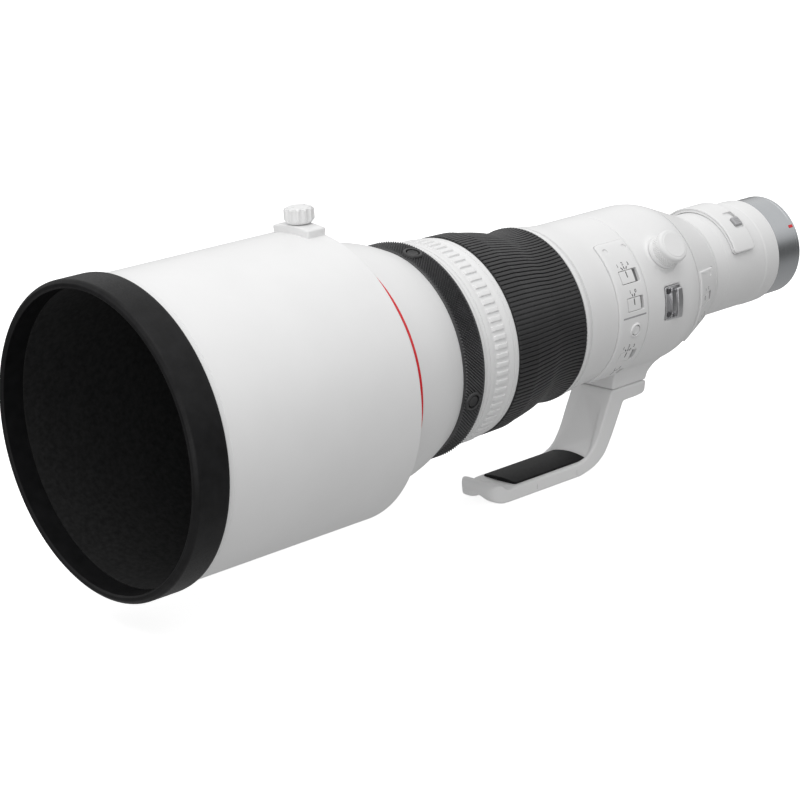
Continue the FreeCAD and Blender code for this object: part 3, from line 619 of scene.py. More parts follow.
BUTTONS = ["af_button_%d" % number for number in range(1, 5)]
button_y = sum(span(BUTTONS[0])) / 2
button_angles = [centre_of(node)[0] for node in BUTTONS]
combine(grip, [solid(lambda b, a=a: spin(b, [(0, 66.4), (4.6, 66.4), (4.6, 74), (0, 74)], button_y, a, 48))
    for a in button_angles], sharp=KNURL_SHARP)
bm = bmesh.new()
for angle in button_angles:
    spin(bm, [(4.45, 66), (4.45, grip_r + 0.7), (4.65, grip_r + 1.0), (5.2, grip_r + 1.15),
        (5.8, grip_r + 0.95), (6.3, grip_r + 0.3), (6.5, grip_r - 0.8), (6.5, 66), (4.45, 66)], button_y,
        angle, 64)
made_piece("button_bosses", bm, "barrel", "black_rubber", (), BOSS_RUBBER)
cap = grip_r + 0.55
for number, (node, angle) in enumerate(zip(BUTTONS, button_angles), 1):
    bm = bmesh.new()
    spin(bm, [(0, 67.2), (3.75, 67.2), (3.75, cap - 0.3), (3.6, cap - 0.05), (3.3, cap), (2.9, cap - 0.12),
        (1.8, cap - 0.42), (0, cap - 0.55)], button_y, angle, 64)
    made_piece("focus_button_%d" % number, bm, node, "black_plastic", [node])


# --- function ring ---
function_front, function_rear = span("function_ring")
RIBS = 72
RIB_STEP = 360 / RIBS
RIB_PHASE = 2.55
rib_shape = [(0.0, 0.0), (0.215, 0.0), (0.24, 0.2), (0.27, 0.85), (0.31, 1.0), (0.69, 1.0), (0.73, 0.85),
    (0.76, 0.2), (0.785, 0.0)]
rib_angles = np.array([RIB_PHASE + RIB_STEP * (i + part - 0.5) for i in range(RIBS) for part, _ in rib_shape])
rib_wave = np.array([height for _ in range(RIBS) for _, height in rib_shape])
ring_r = 67.0
profile = [(function_front, 61.6), (function_front, 66.5), (function_front + 0.3, 67.1),
    (function_front + 0.9, 67.5)]
for y in (-350.6, -347.3):
    profile += [(y - 0.4, 67.6), (y - 0.25, 67.15), (y + 0.25, 67.15), (y + 0.4, 67.6)]
profile += [(-344.6, 67.6), (-343.4, 67.5), (-342.6, ring_r), (-341.4, ring_r)]
rib_from = len(profile)
rib_heights = [0.4, 0.95, 1.2, 1.3, 1.3, 1.2, 0.95, 0.4]
profile += [(y, ring_r) for y in (-341.1, -340.8, -340.2, -339.4, -332.8, -332.0, -331.4, -331.1)]
profile += [(-330.8, ring_r), (-329.6, ring_r), (-328.6, 67.5), (-326.0, 67.5)]
for y, drop in ((-325.3, 0.0), (-322.1, 0.4)):
    profile += [(y - 0.35, 67.35 - drop), (y - 0.2, 67.0 - drop), (y + 0.2, 67.0 - drop),
        (y + 0.35, 67.3 - drop)]
profile += [(function_rear - 0.6, 66.6), (function_rear, 66.0), (function_rear, 61.6)]


def rib_lift(row, angles):
    if rib_from <= row < rib_from + len(rib_heights):
        return rib_wave * rib_heights[row - rib_from]
    return 0.0


bm = bmesh.new()
turn(bm, profile, angles=rib_angles, lift=rib_lift)
made_piece("function_ring_ribbed", bm, "function_ring", "white_paint", ["function_ring"],
    sharp=math.radians(45))

# --- focus ring ---
focus_front, focus_rear = span("focus_ring_rubber")
RIDGES = 135
RIDGE_DEPTH = 1.1
END_DEPTH = 0.3
ridge_step = 360 / RIDGES
ridge_shape = [(0.0, 1.0), (0.15, 1.0), (0.22, 0.15), (0.30, 0.0), (0.85, 0.0), (0.93, 0.15)]
ridge_angles = np.array([ridge_step * (i + part) for i in range(RIDGES) for part, _ in ridge_shape])
ridge_wave = np.array([depth for _ in range(RIDGES) for _, depth in ridge_shape])
crest = [(focus_front + 0.6, 67.3), (-312, 67.2), (-303.4, 67.0)]
crest += eased([(-302.6, 66.75), (-297, 65.6), (-291, 64.6), (-286, 63.6), (-281, 62.5), (-276, 60.9),
    (-271, 59.9), (-262, 59.3), (-256, 59.5), (focus_rear - 0.6, 60.3)], 3)
under = eased([(focus_front, 64.6), (-302, 64.0), (-291, 62.0), (-281, 59.7), (-273, 57.9), (-264, 57.4),
    (focus_rear, 57.3)], 3)
profile = [(focus_front, 66.4)] + crest + [(focus_rear, 59.7)] + under[::-1]


def ridge_lift(row, angles):
    if row == 0 or row == len(crest) + 1:
        return -END_DEPTH * ridge_wave
    if row <= len(crest):
        return -RIDGE_DEPTH * ridge_wave
    return 0.0


bm = bmesh.new()
turn(bm, profile, angles=ridge_angles, lift=ridge_lift)
made_piece("focus_ring_ridged", bm, "focus_ring", "black_rubber", ["focus_ring_rubber"],
    sharp=math.radians(40))


# --- middle barrel and switch panel ---
mid_front, mid_rear = span("mid_barrel")
panel_front, panel_rear = span("switch_panel")
MID_R = 56.1
PANEL_TOP = 37.3
PANEL_END = 155.0
PANEL_MID = (PANEL_TOP + PANEL_END) / 2
PANEL_R = 57.6
FLOOR_R = 54.9
PANEL_GAP = 0.3
ARC = math.radians(1) * PANEL_R
half = (PANEL_END - PANEL_TOP) / 2 * ARC
on_panel = wrapped(PANEL_MID, PANEL_R)
profile = softened([(mid_front, 52.1, 0), (mid_front, 59.5, 0.3), (mid_front + 0.5, 60.0, 0.4),
    (-248.0, 60.0, 0.5), (-247.4, 59.3, 0.3), (-246.0, 59.15, 0.05), (-245.75, 58.2, 0.05),
    (-245.3, 58.2, 0.05), (-245.1, 59.05, 0.05), (-244.85, 59.0, 0.05), (-244.6, 58.0, 0.05),
    (-244.15, 58.0, 0.05), (-243.9, 58.9, 0.05), (-236.8, 58.3, 0.1), (-236.4, 57.7, 0.1), (-231, 57.3, 0.3),
    (-226, 56.7, 0.3), (-221, 56.15, 0.3), (-216.5, MID_R, 0.3), (mid_rear - 0.2, MID_R, 0.15),
    (mid_rear, 55.8, 0.1), (mid_rear, 52.1, 0)], 0.2, 3)
barrel = ring("middle_barrel", profile, "barrel", "white_paint", ["mid_barrel"], 256)
pocket = block(-half - PANEL_GAP, half + PANEL_GAP, panel_front - PANEL_GAP, panel_rear + 0.05, 3.6, 8)
combine(barrel, [solid(lambda b: plate(b, [pocket], 53.6 - PANEL_R, 6.0, 0, on_panel))])


# slider, its angle, its travel in mm, and the numbers over its window
SLIDERS = [("stabilizer_mode_slider", 65.2, 4.0, "123"), ("stabilizer_switch_slider", 84.2, 2.6, "10"),
    ("focus_preset_slider", 123.6, 4.0, "123"), ("focus_speed_slider", 144.7, 4.0, "12")]
WINDOW_HALF = 4.7 * ARC
set_angle = 102.6
set_y = sum(span("set_button")) / 2
outlines = [softened([(-half, panel_front, 3.4), (half, panel_front, 3.4), (half, panel_rear, 3.4),
    (-half, panel_rear, 3.4)], 1, 8)]
for name, angle, travel, _ in SLIDERS:
    _, front, rear = centre_of(name)
    s = (angle - PANEL_MID) * ARC
    outlines.append(block(s - WINDOW_HALF, s + WINDOW_HALF, front - 0.4, rear + travel + 0.4, 0.9)[::-1])
outlines.append(circle((set_angle - PANEL_MID) * ARC, set_y, 3.7)[::-1])
PANEL_SCREWS = [(-210.0, 44.4), (-191.8, 44.4)]
for y, angle in PANEL_SCREWS:
    outlines.append(circle((angle - PANEL_MID) * ARC, y, 2.05, 24)[::-1])


def sloped(s, t, h):
    """Panel face that slopes away along its front edge and its upper end."""
    near = min(t - panel_front, s + half, half - s)
    return on_panel(s, t, h - (h > -0.6) * 0.55 * max(0.0, 1 - near / 3.0) ** 1.5)


bm = bmesh.new()
plate(bm, outlines, FLOOR_R - PANEL_R - 0.05, 0.0, (0.7, 0.35), sloped, 0.9,
    across=np.arange(0.6, 4.2, 0.6) + panel_front)
plate(bm, [outlines[0]], 53.75 - PANEL_R, FLOOR_R - PANEL_R, 0, on_panel)
spin(bm, [(3.75, 56.0), (3.75, PANEL_R + 0.5), (3.95, PANEL_R + 0.85), (4.4, PANEL_R + 0.95),
    (4.85, PANEL_R + 0.75), (5.15, PANEL_R + 0.3), (5.3, PANEL_R - 0.1), (5.3, 56.0), (3.75, 56.0)], set_y,
    set_angle, 64)
made_piece("side_switch_panel", bm, "barrel", "white_paint", ["switch_panel"])


def thumb(name, angle, wide, front, rear, low, high, bent, mark_at, mark_long):
    """Switch slider with a printed index line."""
    bm = bmesh.new()
    plate(bm, [block(-wide, wide, front, rear, 0.7)], low, high, 0.35, bent(angle))
    made_piece(name.replace("slider", "thumb"), bm, name, "white_plastic", [name])
    bm = bmesh.new()
    plate(bm, [block(-wide + 0.5, -wide + 0.5 + mark_long, mark_at - 0.4, mark_at + 0.4, 0.15)], high - 0.02,
        high + 0.03, 0, bent(angle))
    made_piece(name.replace("slider", "index"), bm, name, "white_plastic", (), INK, weighted=False)


wells = bmesh.new()
for name, angle, travel, _ in SLIDERS:
    _, front, rear = centre_of(name)
    plate(wells, [block(-WINDOW_HALF, WINDOW_HALF, front - 0.4, rear + travel + 0.4, 0.9)],
        FLOOR_R - PANEL_R - 0.02, FLOOR_R - PANEL_R + 0.2, 0, wrapped(angle, PANEL_R))
    thumb(name, angle, WINDOW_HALF - 0.35, front + 0.1, rear, 55.25 - PANEL_R, 0.0,
        lambda a: wrapped(a, PANEL_R), (front + rear) / 2, 4.4)
spin(wells, [(0, 54.95), (3.72, 54.95), (3.72, 55.4), (0, 55.4)], set_y, set_angle, 48)
made_piece("switch_wells", wells, "barrel", "grey_plastic")
bm = bmesh.new()
spin(bm, [(0, 56.0), (3.2, 56.0), (3.2, PANEL_R + 0.35), (3.0, PANEL_R + 0.6), (2.6, PANEL_R + 0.68),
    (2.1, PANEL_R + 0.55), (0, PANEL_R + 0.45)], set_y, set_angle, 64)
made_piece("set_button_cap", bm, "set_button", "white_plastic", ["set_button"])


# --- tripod collar ---
collar = linked("collar_body", frame["nodes"]["collar_housing"].data.copy())
welded(collar)
melted(collar, 8)
collar.data.materials.clear()
collar.data.materials.append(FINISH["white_paint"])
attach(collar, "collar")
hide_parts("collar_housing")

collar_knob_y = sum(span("collar_lock_knob")) / 2
collar_knob_angle = centre_of("collar_lock_knob")[0]
KNOB_KNURLS = 76
KNOB_ROWS = 6
KNOB_KNURL_HEIGHT = 0.8
profile = [(0, 57.4), (12.0, 57.4), (12.2, 57.7), (12.2, 59.4), (12.0, 59.8), (11.4, 60.0), (11.3, 60.3)]
start = len(profile)
profile += [(11.2, 60.6 + 5.4 * j / KNOB_ROWS) for j in range(KNOB_ROWS + 1)]
profile += [(11.3, 66.3), (11.2, 66.5), (11.2, 66.8), (11.5, 67.1), (11.6, 67.5), (11.5, 68.4), (11.1, 69.2),
    (10.4, 69.7), (9.6, 69.85), (9.4, 69.8), (9.2, 69.95), (8.8, 70.15), (0, 70.2)]


def knob_knurl(row, r, turns):
    radius = np.full(len(turns), r)
    if start < row < start + KNOB_ROWS:
        radius += np.where((np.arange(len(turns)) + row) % 2 == 0, KNOB_KNURL_HEIGHT, 0.0)
    return radius


bm = bmesh.new()
spin(bm, profile, collar_knob_y, collar_knob_angle, KNOB_KNURLS, knob_knurl, range(start, start + KNOB_ROWS))
made_piece("collar_knob_cap", bm, "collar_knob", "white_plastic", ["collar_lock_knob"], None,
    math.radians(14), False)


# --- strap lugs ---
LUG_R = 55.0
LUG_ARC = math.radians(1) * LUG_R
lug_front, lug_rear = span("strap_lugs")
LUG_WIDE = 12.0 * LUG_ARC
BAR_FRONT, BAR_REAR = -160.3, -155.3
bm = bmesh.new()
for sign in (1, -1):
    bent = wrapped(sign * 91.6, LUG_R)
    rim = block(-LUG_WIDE, LUG_WIDE, lug_front, lug_rear, 2.2)
    well = block(-LUG_WIDE + 1.0, LUG_WIDE - 1.0, lug_front + 1.0, lug_rear - 1.0, 1.5)[::-1]
    plate(bm, [rim, well], -1.3, 1.3, 0.4, bent)
    plate(bm, [rim], -1.3, 0.0, 0, bent)
    plate(bm, [block(-LUG_WIDE + 0.5, LUG_WIDE - 0.5, -162.6, -161.4, 0.2)], -0.5, 1.3, 0.35, bent)
    bar_ends = sorted((sign * (2.0 * LUG_ARC - LUG_WIDE), sign * (LUG_WIDE - 1.2 * LUG_ARC)))
    plate(bm, [block(bar_ends[0], bar_ends[1], BAR_FRONT, BAR_REAR, 1.2)], 3.2, 5.0, 0.8, bent)
    for edges in ((bar_ends[0], bar_ends[0] + 2.7), (bar_ends[1] - 2.7, bar_ends[1])):
        plate(bm, [block(edges[0], edges[1], BAR_FRONT, BAR_REAR, 1.0)], -0.5, 4.6, 0.6, bent)
made_piece("strap_eyelets", bm, "collar", "lug_steel", ["strap_lugs"])

# --- foot ---
foot_low, foot_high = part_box("foot")
FOOT_HALF = foot_high.x / MM
BOTTOM = foot_low.z / MM
NOSE = foot_low.y / MM
seam_z = foot_high.z / MM
FOOT_TOP = -108.8
front_line = eased([(-185.0, seam_z), (-189.0, -72.0), (-194.5, -82.0), (-200.8, -94.0), (-206.5, -101.6),
    (-211.5, -105.8), (-218.5, FOOT_TOP)])
nose_line = eased([(-284.0, FOOT_TOP), (-287.0, -109.7), (-290.0, -109.0), (-293.0, -106.2), (-296.6, -104.9),
    (-300.4, -105.9), (NOSE - 0.7, -109.6), (-302.0, -113.4), (-299.2, -116.8), (-294.0, BOTTOM)])
heel_line = eased([(-219.0, BOTTOM), (-206.5, -115.4), (-196.5, -109.8), (-189.6, -101.6), (-180.6, -87.0),
    (-174.0, -75.2)])
side = front_line + nose_line + heel_line + [(-155.0, -74.8), (-151.8, -73.0), (-150.2, seam_z)]
side = [(y, max(z, BOTTOM)) for y, z in side]
plan = eased([(-FOOT_HALF, -290.0), (-18.2, -296.0), (-14.5, -300.9), (-8.0, NOSE - 0.7), (8.0, NOSE - 0.7),
    (14.5, -300.9), (18.2, -296.0), (FOOT_HALF, -290.0)]) + [(FOOT_HALF, -149), (-FOOT_HALF, -149)]
# hollow in the leg's front: a tapering facet between two sloping ones
SCOOP = [(-8.0, -186.9, -68.0), (13.6, -188.8, -68.0), (-13.6, -188.8, -68.0), (-13.5, -204.2, -100.5),
    (9.0, -196.2, -98.0), (15.2, -205.4, -100.5), (15.9, -209.8, FOOT_TOP), (-15.9, -209.8, FOOT_TOP),
    (15.9, -235.0, FOOT_TOP), (-15.9, -235.0, FOOT_TOP), (13.6, -235.0, -68.0), (-13.6, -235.0, -68.0)]


def hull(b, points):
    """Convex solid round some points."""
    for point in points:
        b.verts.new(point)
    made = bmesh.ops.convex_hull(b, input=b.verts[:])
    spare = {v for v in made["geom_interior"] + made["geom_unused"] if isinstance(v, bmesh.types.BMVert)}
    bmesh.ops.delete(b, geom=list(spare), context="VERTS")


def rod(b, r, start, end, place):
    """Round bar. place(u, v, h) says where a point across it and along it goes."""
    turns = np.linspace(0, 2 * math.pi, 48, endpoint=False)
    rows = [[place(a * math.cos(t), a * math.sin(t), h) for t in turns]
            for a, h in ((0, start), (r, start), (r, end), (0, end))]
    add_rows(b, rows, True, False)


def crate(b, x0, x1, y0, y1, z0, z1):
    """Box between two corners."""
    for v in bmesh.ops.create_cube(b, size=1)["verts"]:
        v.co = Vector((x1 if v.co.x > 0 else x0, y1 if v.co.y > 0 else y0, z1 if v.co.z > 0 else z0))


def egg(b, centre, radii):
    """Ellipsoid."""
    for v in bmesh.ops.create_icosphere(b, subdivisions=4, radius=1)["verts"]:
        v.co = Vector([c + r * x for c, r, x in zip(centre, radii, v.co)])


bm = bmesh.new()
plate(bm, [side], -FOOT_HALF, FOOT_HALF, 0, lambda s, t, h: Vector((h, s, t)), step=None)
foot = made_piece("collar_foot", bm, "collar", "white_paint", ["foot"], weighted=False)
combine(foot, [solid(lambda b: plate(b, [plan], -130, -50, 0, flat, step=None))], "INTERSECT")
LIP_Z = BOTTOM - 3.8
combine(foot, [solid(lambda b: hull(b, SCOOP)),
               solid(lambda b: rod(b, 9.0, -315, -286, lambda u, v, h: (u, h, LIP_Z + v))),
               solid(lambda b: egg(b, (-11.5, -303.6, -114.6), (6.4, 4.4, 3.2)))])
melted(foot, 30)

# radius, place and height span of the two tripod screw holes and of the two collar screws
HOLES = [(4.7625, 0, -262, BOTTOM - 1, BOTTOM + 8), (3.175, 0, -238, BOTTOM - 1, BOTTOM + 8),
    (4.0, -10, -160.5, -90, seam_z - 5), (4.0, 10, -160.5, -90, seam_z - 5)]
SLOTS = (-262.5, -223.5)
combine(foot, [solid(lambda b, r=r, x=x, y=y, low=low, high=high:
                     rod(b, r, low, high, lambda u, v, h: (x + u, y + v, h))) for r, x, y, low, high in HOLES]
        + [solid(lambda b, y=y: crate(b, 18.2, 20, y - 0.3, y + 0.3, -116.4, -112.8)) for y in SLOTS])

pad_low, pad_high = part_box("foot_pad")
PAD_HALF = pad_high.x / MM
bm = bmesh.new()
PAD_FRONT = pad_low.y / MM
PAD_REAR = pad_high.y / MM
pad = softened([(-PAD_HALF, PAD_FRONT, 2.4), (0, PAD_FRONT - 1.0, 20), (PAD_HALF, PAD_FRONT, 2.4),
    (PAD_HALF, PAD_REAR, 2.4), (0, PAD_REAR + 0.6, 20), (-PAD_HALF, PAD_REAR, 2.4)], 1, 7)
plate(bm, [pad], 0.0, 0.9, 0.7,
      lambda s, t, h: Vector((s, t, pad_low.z / MM + h + (h > 0.4) * 1.8 * (1 - (s / PAD_HALF) ** 2))), 1.0)
made_piece("grip_pad", bm, "collar", "black_rubber", ["foot_pad"], PAD_RUBBER)


# --- cone, rear barrel and mount ---
cone_front, cone_rear = span("rear_cone")
CONE_FRONT_Y, CONE_FRONT_R = -130.6, 53.3
CONE_SLOPE = (38.2 - CONE_FRONT_R) / (-93.3 - CONE_FRONT_Y)


def cone_r(y):
    """Radius of the cone."""
    return CONE_FRONT_R + CONE_SLOPE * (y - CONE_FRONT_Y)


cone = ring("cone_shell", softened([(cone_front, cone_r(cone_front) - 2.4, 0),
    (cone_front, cone_r(cone_front), 0.25), (-98.2, cone_r(-98.2), 0.05), (-98.0, cone_r(-98.0) - 0.3, 0.05),
    (-97.7, cone_r(-97.7) - 0.3, 0.05), (-97.5, cone_r(-97.5), 0.05), (-96.5, cone_r(-96.5), 0.6),
    (cone_rear, 37.9, 0.3), (cone_rear, 35.6, 0), (-97, 36.7, 0)], 0.1, 3), "barrel", "white_paint",
    ["rear_cone"], 256)
REAR_START, REAR_END = 76.5, 139.0
REAR_MID = (REAR_START + REAR_END) / 2
P_FRONT, P_REAR = span("rear_switch_panel")


def cone_band(b, front, rear, low, high, start, end):
    """Part of a shell that stands on the cone."""
    turn(b, [(front, cone_r(front) + low), (front, cone_r(front) + high), (rear, cone_r(rear) + high),
        (rear, cone_r(rear) + low)], 40, start, end)


combine(cone, [solid(lambda b: cone_band(b, P_FRONT - 0.05, P_REAR + 0.05, -1.7, 6, REAR_START - 0.05,
    REAR_END + 0.05))])
REF = cone_r((P_FRONT + P_REAR) / 2)


def on_cone(angle):
    """Bend onto the cone, as wrapped does onto the barrel."""
    def place(s, t, h):
        turned = math.radians(angle) + s / REF
        level = cone_r(t) + h
        return Vector((level * math.sin(turned), t, level * math.cos(turned)))
    return place


REAR_SLIDERS = [("focus_mode_slider", 100.4), ("focus_range_slider", 123.0)]
REAR_FRONT, REAR_BACK = -127.2, -110.8
REAR_ARC = math.radians(1) * REF
half = (REAR_END - REAR_START) / 2 * REAR_ARC
outlines = [softened([(-half, P_FRONT, 0.6), (half, P_FRONT, 0.6), (half, P_REAR, 2.6), (-half, P_REAR, 3.0)],
    1, 7)]
wells = bmesh.new()
for name, angle in REAR_SLIDERS:
    s = (angle - REAR_MID) * REAR_ARC
    window = block(s - 4.6 * REAR_ARC, s + 4.6 * REAR_ARC, REAR_FRONT, REAR_BACK, 0.8)
    outlines.append(window[::-1])
    plate(wells, [window], -1.0, -0.85, 0, on_cone(REAR_MID))
outlines.append(circle((81.2 - REAR_MID) * REAR_ARC, -110.9, 1.7, 24)[::-1])
made_piece("rear_switch_wells", wells, "barrel", "grey_plastic")
bm = bmesh.new()
plate(bm, outlines, -1.0, 1.15, (1.1, 0.25), on_cone(REAR_MID))
plate(bm, [outlines[0]], -1.6, -0.9, 0, on_cone(REAR_MID))
made_piece("rear_panel", bm, "barrel", "white_paint", ["rear_switch_panel"])
for name, angle in REAR_SLIDERS:
    thumb(name, angle, 4.1 * REAR_ARC, REAR_FRONT + 0.4, REAR_BACK - 3.0, -0.6, 1.1, on_cone, -122.0, 3.2)

neck_front, neck_rear = span("rear_barrel")
REAR_R = 37.3
neck = ring("neck_barrel", softened([(neck_front, 34.9, 0), (neck_front, REAR_R, 0.3), (-81.0, REAR_R, 0.05),
    (-80.8, REAR_R - 0.2, 0.05), (-80.6, REAR_R, 0.05), (-40.5, REAR_R, 0.3), (-39, 37.7, 0.3),
    (-31, 37.7, 0.3), (neck_rear - 0.8, 37.5, 0.3), (neck_rear, 36.8, 0.2), (neck_rear, 34.9, 0)], 0.1, 3),
    "barrel", "white_paint", ["rear_barrel"], 256)
combine(neck, [solid(lambda b: crate(b, -28.3, 28.3, -69.4, -58.6, 12, 45))])

COVER_R = 41.0
COVER_ARC = math.radians(1) * COVER_R
cover_end = 72 * COVER_ARC
cover = softened([(-cover_end, -74.5), (cover_end, -74.5), (cover_end, -53.0), (-cover_end, -53.0)], 3.0, 7)
pockets = [block(*sorted((sign * 25 * COVER_ARC, sign * 47 * COVER_ARC)), -63.5, -54.5, 1.0)[::-1]
    for sign in (-1, 1)]
bm = bmesh.new()
plate(bm, [cover] + pockets, -1.2, 0.0, (1.15, 0.45), wrapped(0, COVER_R))
plate(bm, [cover], -3.3, -1.15, 0, wrapped(0, COVER_R))
plate(bm, [[(-27.9, 0)] + [(27.9 * math.cos(a), 27.9 * math.sin(a)) for a in np.linspace(math.pi, 2 * math.pi,
                                                                                         40)[1:-1]]
           + [(27.9, 0), (27.9, 26)] + [(38.6 * math.sin(a),
                                         38.6 * math.cos(a)) for a in np.linspace(0.8, -0.8, 24)]
           + [(-27.9, 26)], circle(0, 0, 24.0, 64)[::-1]], -68.9, -59.1, 0.4, lambda s, t,
           h: Vector((s, h, t)), step=None)
made_piece("filter_drawer", bm, "filter_holder", "white_paint", ["filter_holder"])
for name, sign in (("filter_tab_right", 1), ("filter_tab_left", -1)):
    bm = bmesh.new()
    wide = 5.0 * COVER_ARC
    plate(bm, [block(-wide, wide, -62.6, -55.4, 1.2)], -0.8, 1.3, 0.9, wrapped(sign * 39.5, COVER_R))
    for i in (-1, 0, 1):
        plate(bm, [block(i * 1.4 - 0.35, i * 1.4 + 0.35, -61.2, -56.8, 0.3)], 1.0, 1.55, 0.2,
            wrapped(sign * 39.5, COVER_R))
    made_piece(name + "_grip", bm, name, "grey_plastic", [name], TAB_GREY)

mount_front, mount_rear = span("mount_ring")
MOUNT_R = reach("mount_ring")
ring("mount_collar", softened([(mount_front, 31.1, 0), (mount_front, MOUNT_R, 0.25), (-3.4, MOUNT_R, 0.05),
    (-3.25, MOUNT_R - 0.18, 0.05), (-3.1, MOUNT_R, 0.05), (mount_rear, MOUNT_R, 0.5),
    (mount_rear, 25.05, 0.2), (-2.9, 25.05, 0), (-2.9, 31.1, 0)], 0.1, 3), "barrel", "mount_steel",
    ["mount_ring"], 256)
bm = bmesh.new()
plate(bm, [block(-1.1, 1.1, -6.4, -2.2, 0.4)], -0.3, 0.25, 0.15, wrapped(59.5, MOUNT_R))
made_piece("red_index_mark", bm, "barrel", "red_paint")

# --- fasteners and other CAD nodes that stay ---
for node in ("bayonet_ring", "contact_block", "contact_pins", "mount_screws", "panel_screws",
        "collar_screws"):
    cad = frame["nodes"][node]
    welded(cad)
    bevel = cad.modifiers.new("bevel", "BEVEL")
    bevel.width = 0.15 * MM
    bevel.segments = 2
    bevel.limit_method = "ANGLE"
    bevel.angle_limit = math.radians(35)


# --- printed marks ---
def lettering(bm, text, size, place, s, t):
    """Number drawn as thin raised ink, which place bends. It reads from the front towards the mount."""
    font = bpy.data.curves.new("mark", "FONT")
    font.body = text
    font.size = size
    font.extrude = 0.012
    font.align_x = "CENTER"
    font.align_y = "CENTER"
    font.offset = 0.05
    holder = linked("mark", font)
    bpy.context.view_layer.update()
    data = bpy.data.meshes.new_from_object(holder.evaluated_get(bpy.context.evaluated_depsgraph_get()))
    cos_a, sin_a = math.cos(READ), math.sin(READ)
    for v in data.vertices:
        x, y, z = v.co
        v.co = place(s + x * cos_a - y * sin_a, t + x * sin_a + y * cos_a, 0.02 + z)
    bm.from_mesh(data)
    bpy.data.meshes.remove(data)
    bpy.data.objects.remove(holder)


def stroke(bm, place, a, b, width):
    """Straight printed line from a to b."""
    a = np.array(a, float)
    b = np.array(b, float)
    along = (b - a) / np.linalg.norm(b - a)
    side = np.array([-along[1], along[0]]) * width / 2
    plate(bm, [[tuple(a - side), tuple(b - side), tuple(b + side), tuple(a + side)]], -0.01, 0.03, 0, place)


# direction of the text: s grows downwards round the barrel and t towards the mount
READ = math.pi / 2
MARK_SIZE, REAR_MARK_SIZE = 3.4, 2.7
marks = bmesh.new()


def switch_marks(name, angle, numbers):
    """Numbers over a switch window, with ticks that lead down to its slider's positions."""
    _, front, rear = centre_of(name)
    middle = (front + rear) / 2
    bent = wrapped(angle, PANEL_R)
    top = -WINDOW_HALF
    spread = len(numbers) - 1
    for i, number in enumerate(numbers):
        off = i - spread / 2
        outer = abs(off) / max(spread, 1) * 1.6
        lettering(marks, number, MARK_SIZE, bent, top - 4.7 + outer, middle + off * 5.0)
        stroke(marks, bent, (top - 2.9 + outer * 0.6, middle + off * 2.9), (top - 0.7, middle + off * 1.5),
            0.75)


for name, angle, _, numbers in SLIDERS:
    switch_marks(name, angle, numbers)
# Grey stroke down the panel between the switch groups: painted shade in place of the shadow in a dividing
# groove.
s = (92.6 - PANEL_MID) * ARC
groove_shade_strokes = bmesh.new()
stroke(groove_shade_strokes, on_panel, (s, panel_front + 3.2), (s, panel_rear - 2.0), 1.1)
made_piece("panel_groove_shade", groove_shade_strokes, "barrel", "white_paint", (), GROOVE_SHADE_GREY, weighted=False)
for _, angle in REAR_SLIDERS:
    for number, y in (("1", -121.0), ("2", -116.0)):
        lettering(marks, number, REAR_MARK_SIZE, lambda s, t, h: on_cone(angle)(s, t, h + 1.15), -6.6, y)
made_piece("panel_marks", marks, "barrel", "white_paint", (), INK, weighted=False)

# --- floor, light and camera ---
floor_z = CAD_BOX[0][2]
bm = bmesh.new()
FLOOR_SIDE = 60.0
FLOOR_GLOW = 0.62
bmesh.ops.create_grid(bm, x_segments=8, y_segments=8, size=FLOOR_SIDE / MM / 2)
for v in bm.verts:
    v.co.z = floor_z / MM
data = bpy.data.meshes.new("floor")
bmesh.ops.scale(bm, vec=(MM, MM, MM), verts=bm.verts[:])
bm.to_mesh(data)
bm.free()
floor = linked("studio_floor", data)
data.materials.append(finish_of("studio_floor", (0.86, 0.86, 0.86), 0.9, 0.03, 0.004, 0.7, (),
    Specular_IOR_Level=0.1, Emission_Color=(1, 1, 1, 1), Emission_Strength=FLOOR_GLOW))
floor.visible_diffuse = False
floor.visible_glossy = False
floor.visible_transmission = False

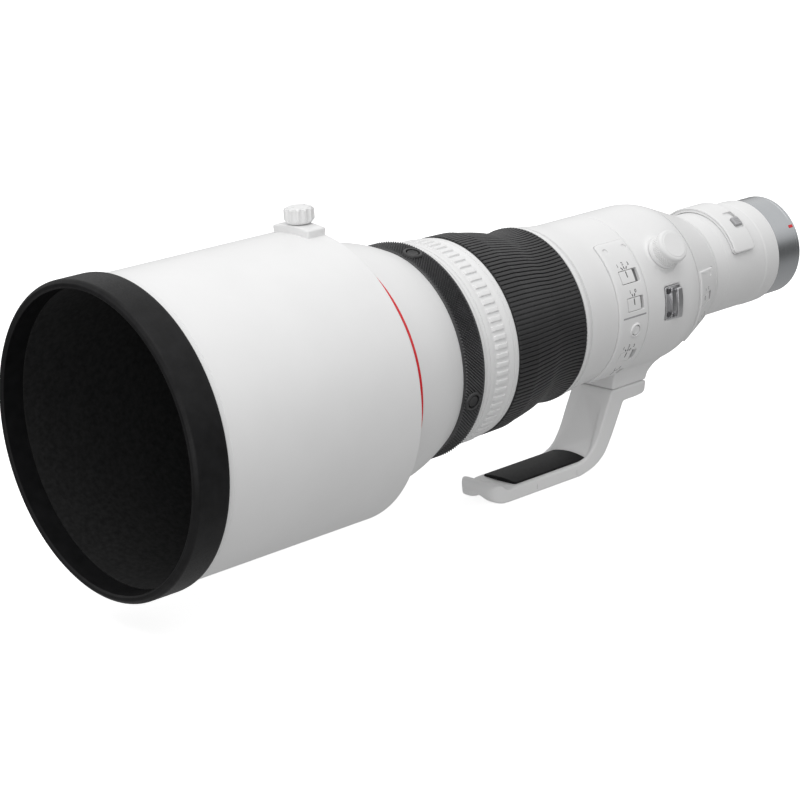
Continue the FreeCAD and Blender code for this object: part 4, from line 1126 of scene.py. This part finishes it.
# soft surround: height of the direction (0 straight down, 1 straight up) and its brightness
SURROUND = [(0.0, 0.54), (0.28, 0.38), (0.40, 0.14), (0.51, 0.17), (0.60, 0.66), (0.72, 0.92), (1.0, 0.88)]
world = bpy.data.worlds.new("studio")
world.use_nodes = True
nodes = world.node_tree.nodes
links = world.node_tree.links
coordinate = nodes.new("ShaderNodeTexCoord")
parts = nodes.new("ShaderNodeSeparateXYZ")
links.new(coordinate.outputs["Generated"], parts.inputs["Vector"])
ramp = nodes.new("ShaderNodeValToRGB")
while len(ramp.color_ramp.elements) < len(SURROUND):
    ramp.color_ramp.elements.new(1.0)
for element, (height, level) in zip(ramp.color_ramp.elements, SURROUND):
    element.position = height
    element.color = (level, level, level, 1)
links.new(between(nodes, links, parts.outputs["Z"], 0.0, 1.0, -1.0, 1.0), ramp.inputs["Fac"])
links.new(ramp.outputs["Color"], nodes["Background"].inputs["Color"])
bpy.context.scene.world = world


def softbox(name, place, target, size, power):
    """Soft rectangular light that faces a point."""
    lamp = bpy.data.lights.new(name, "AREA")
    lamp.shape = "RECTANGLE"
    lamp.size, lamp.size_y = size
    lamp.energy = power
    holder = linked(name, lamp)
    holder.location = place
    holder.rotation_euler = (Vector(target) - Vector(place)).to_track_quat("-Z", "Y").to_euler()


softbox("key_softbox", (0.35, -0.75, 1.5), (0, -0.33, 0), (1.6, 1.2), 8.0)
softbox("low_front_softbox", (0.75, -1.35, -0.02), (0, -0.42, -0.06), (0.8, 0.5), 3.4)

camera_data = bpy.data.cameras.new("camera")
camera_data.lens = 111.24
camera_data.sensor_width = 36
camera_data.clip_start = 0.05
camera_data.clip_end = 60
camera = linked("camera", camera_data)
stand = (1.14679, -1.38427, 0.41847)
right = Vector((0.67579, 0.73481, -0.05800))
up = Vector((-0.16986, 0.23182, 0.95781))
back = right.cross(up)
camera.matrix_world = Matrix.Translation(stand) @ Matrix((right, up, back)).transposed().to_4x4()
bpy.context.scene.camera = camera
bpy.context.scene.view_settings.view_transform = "Standard"
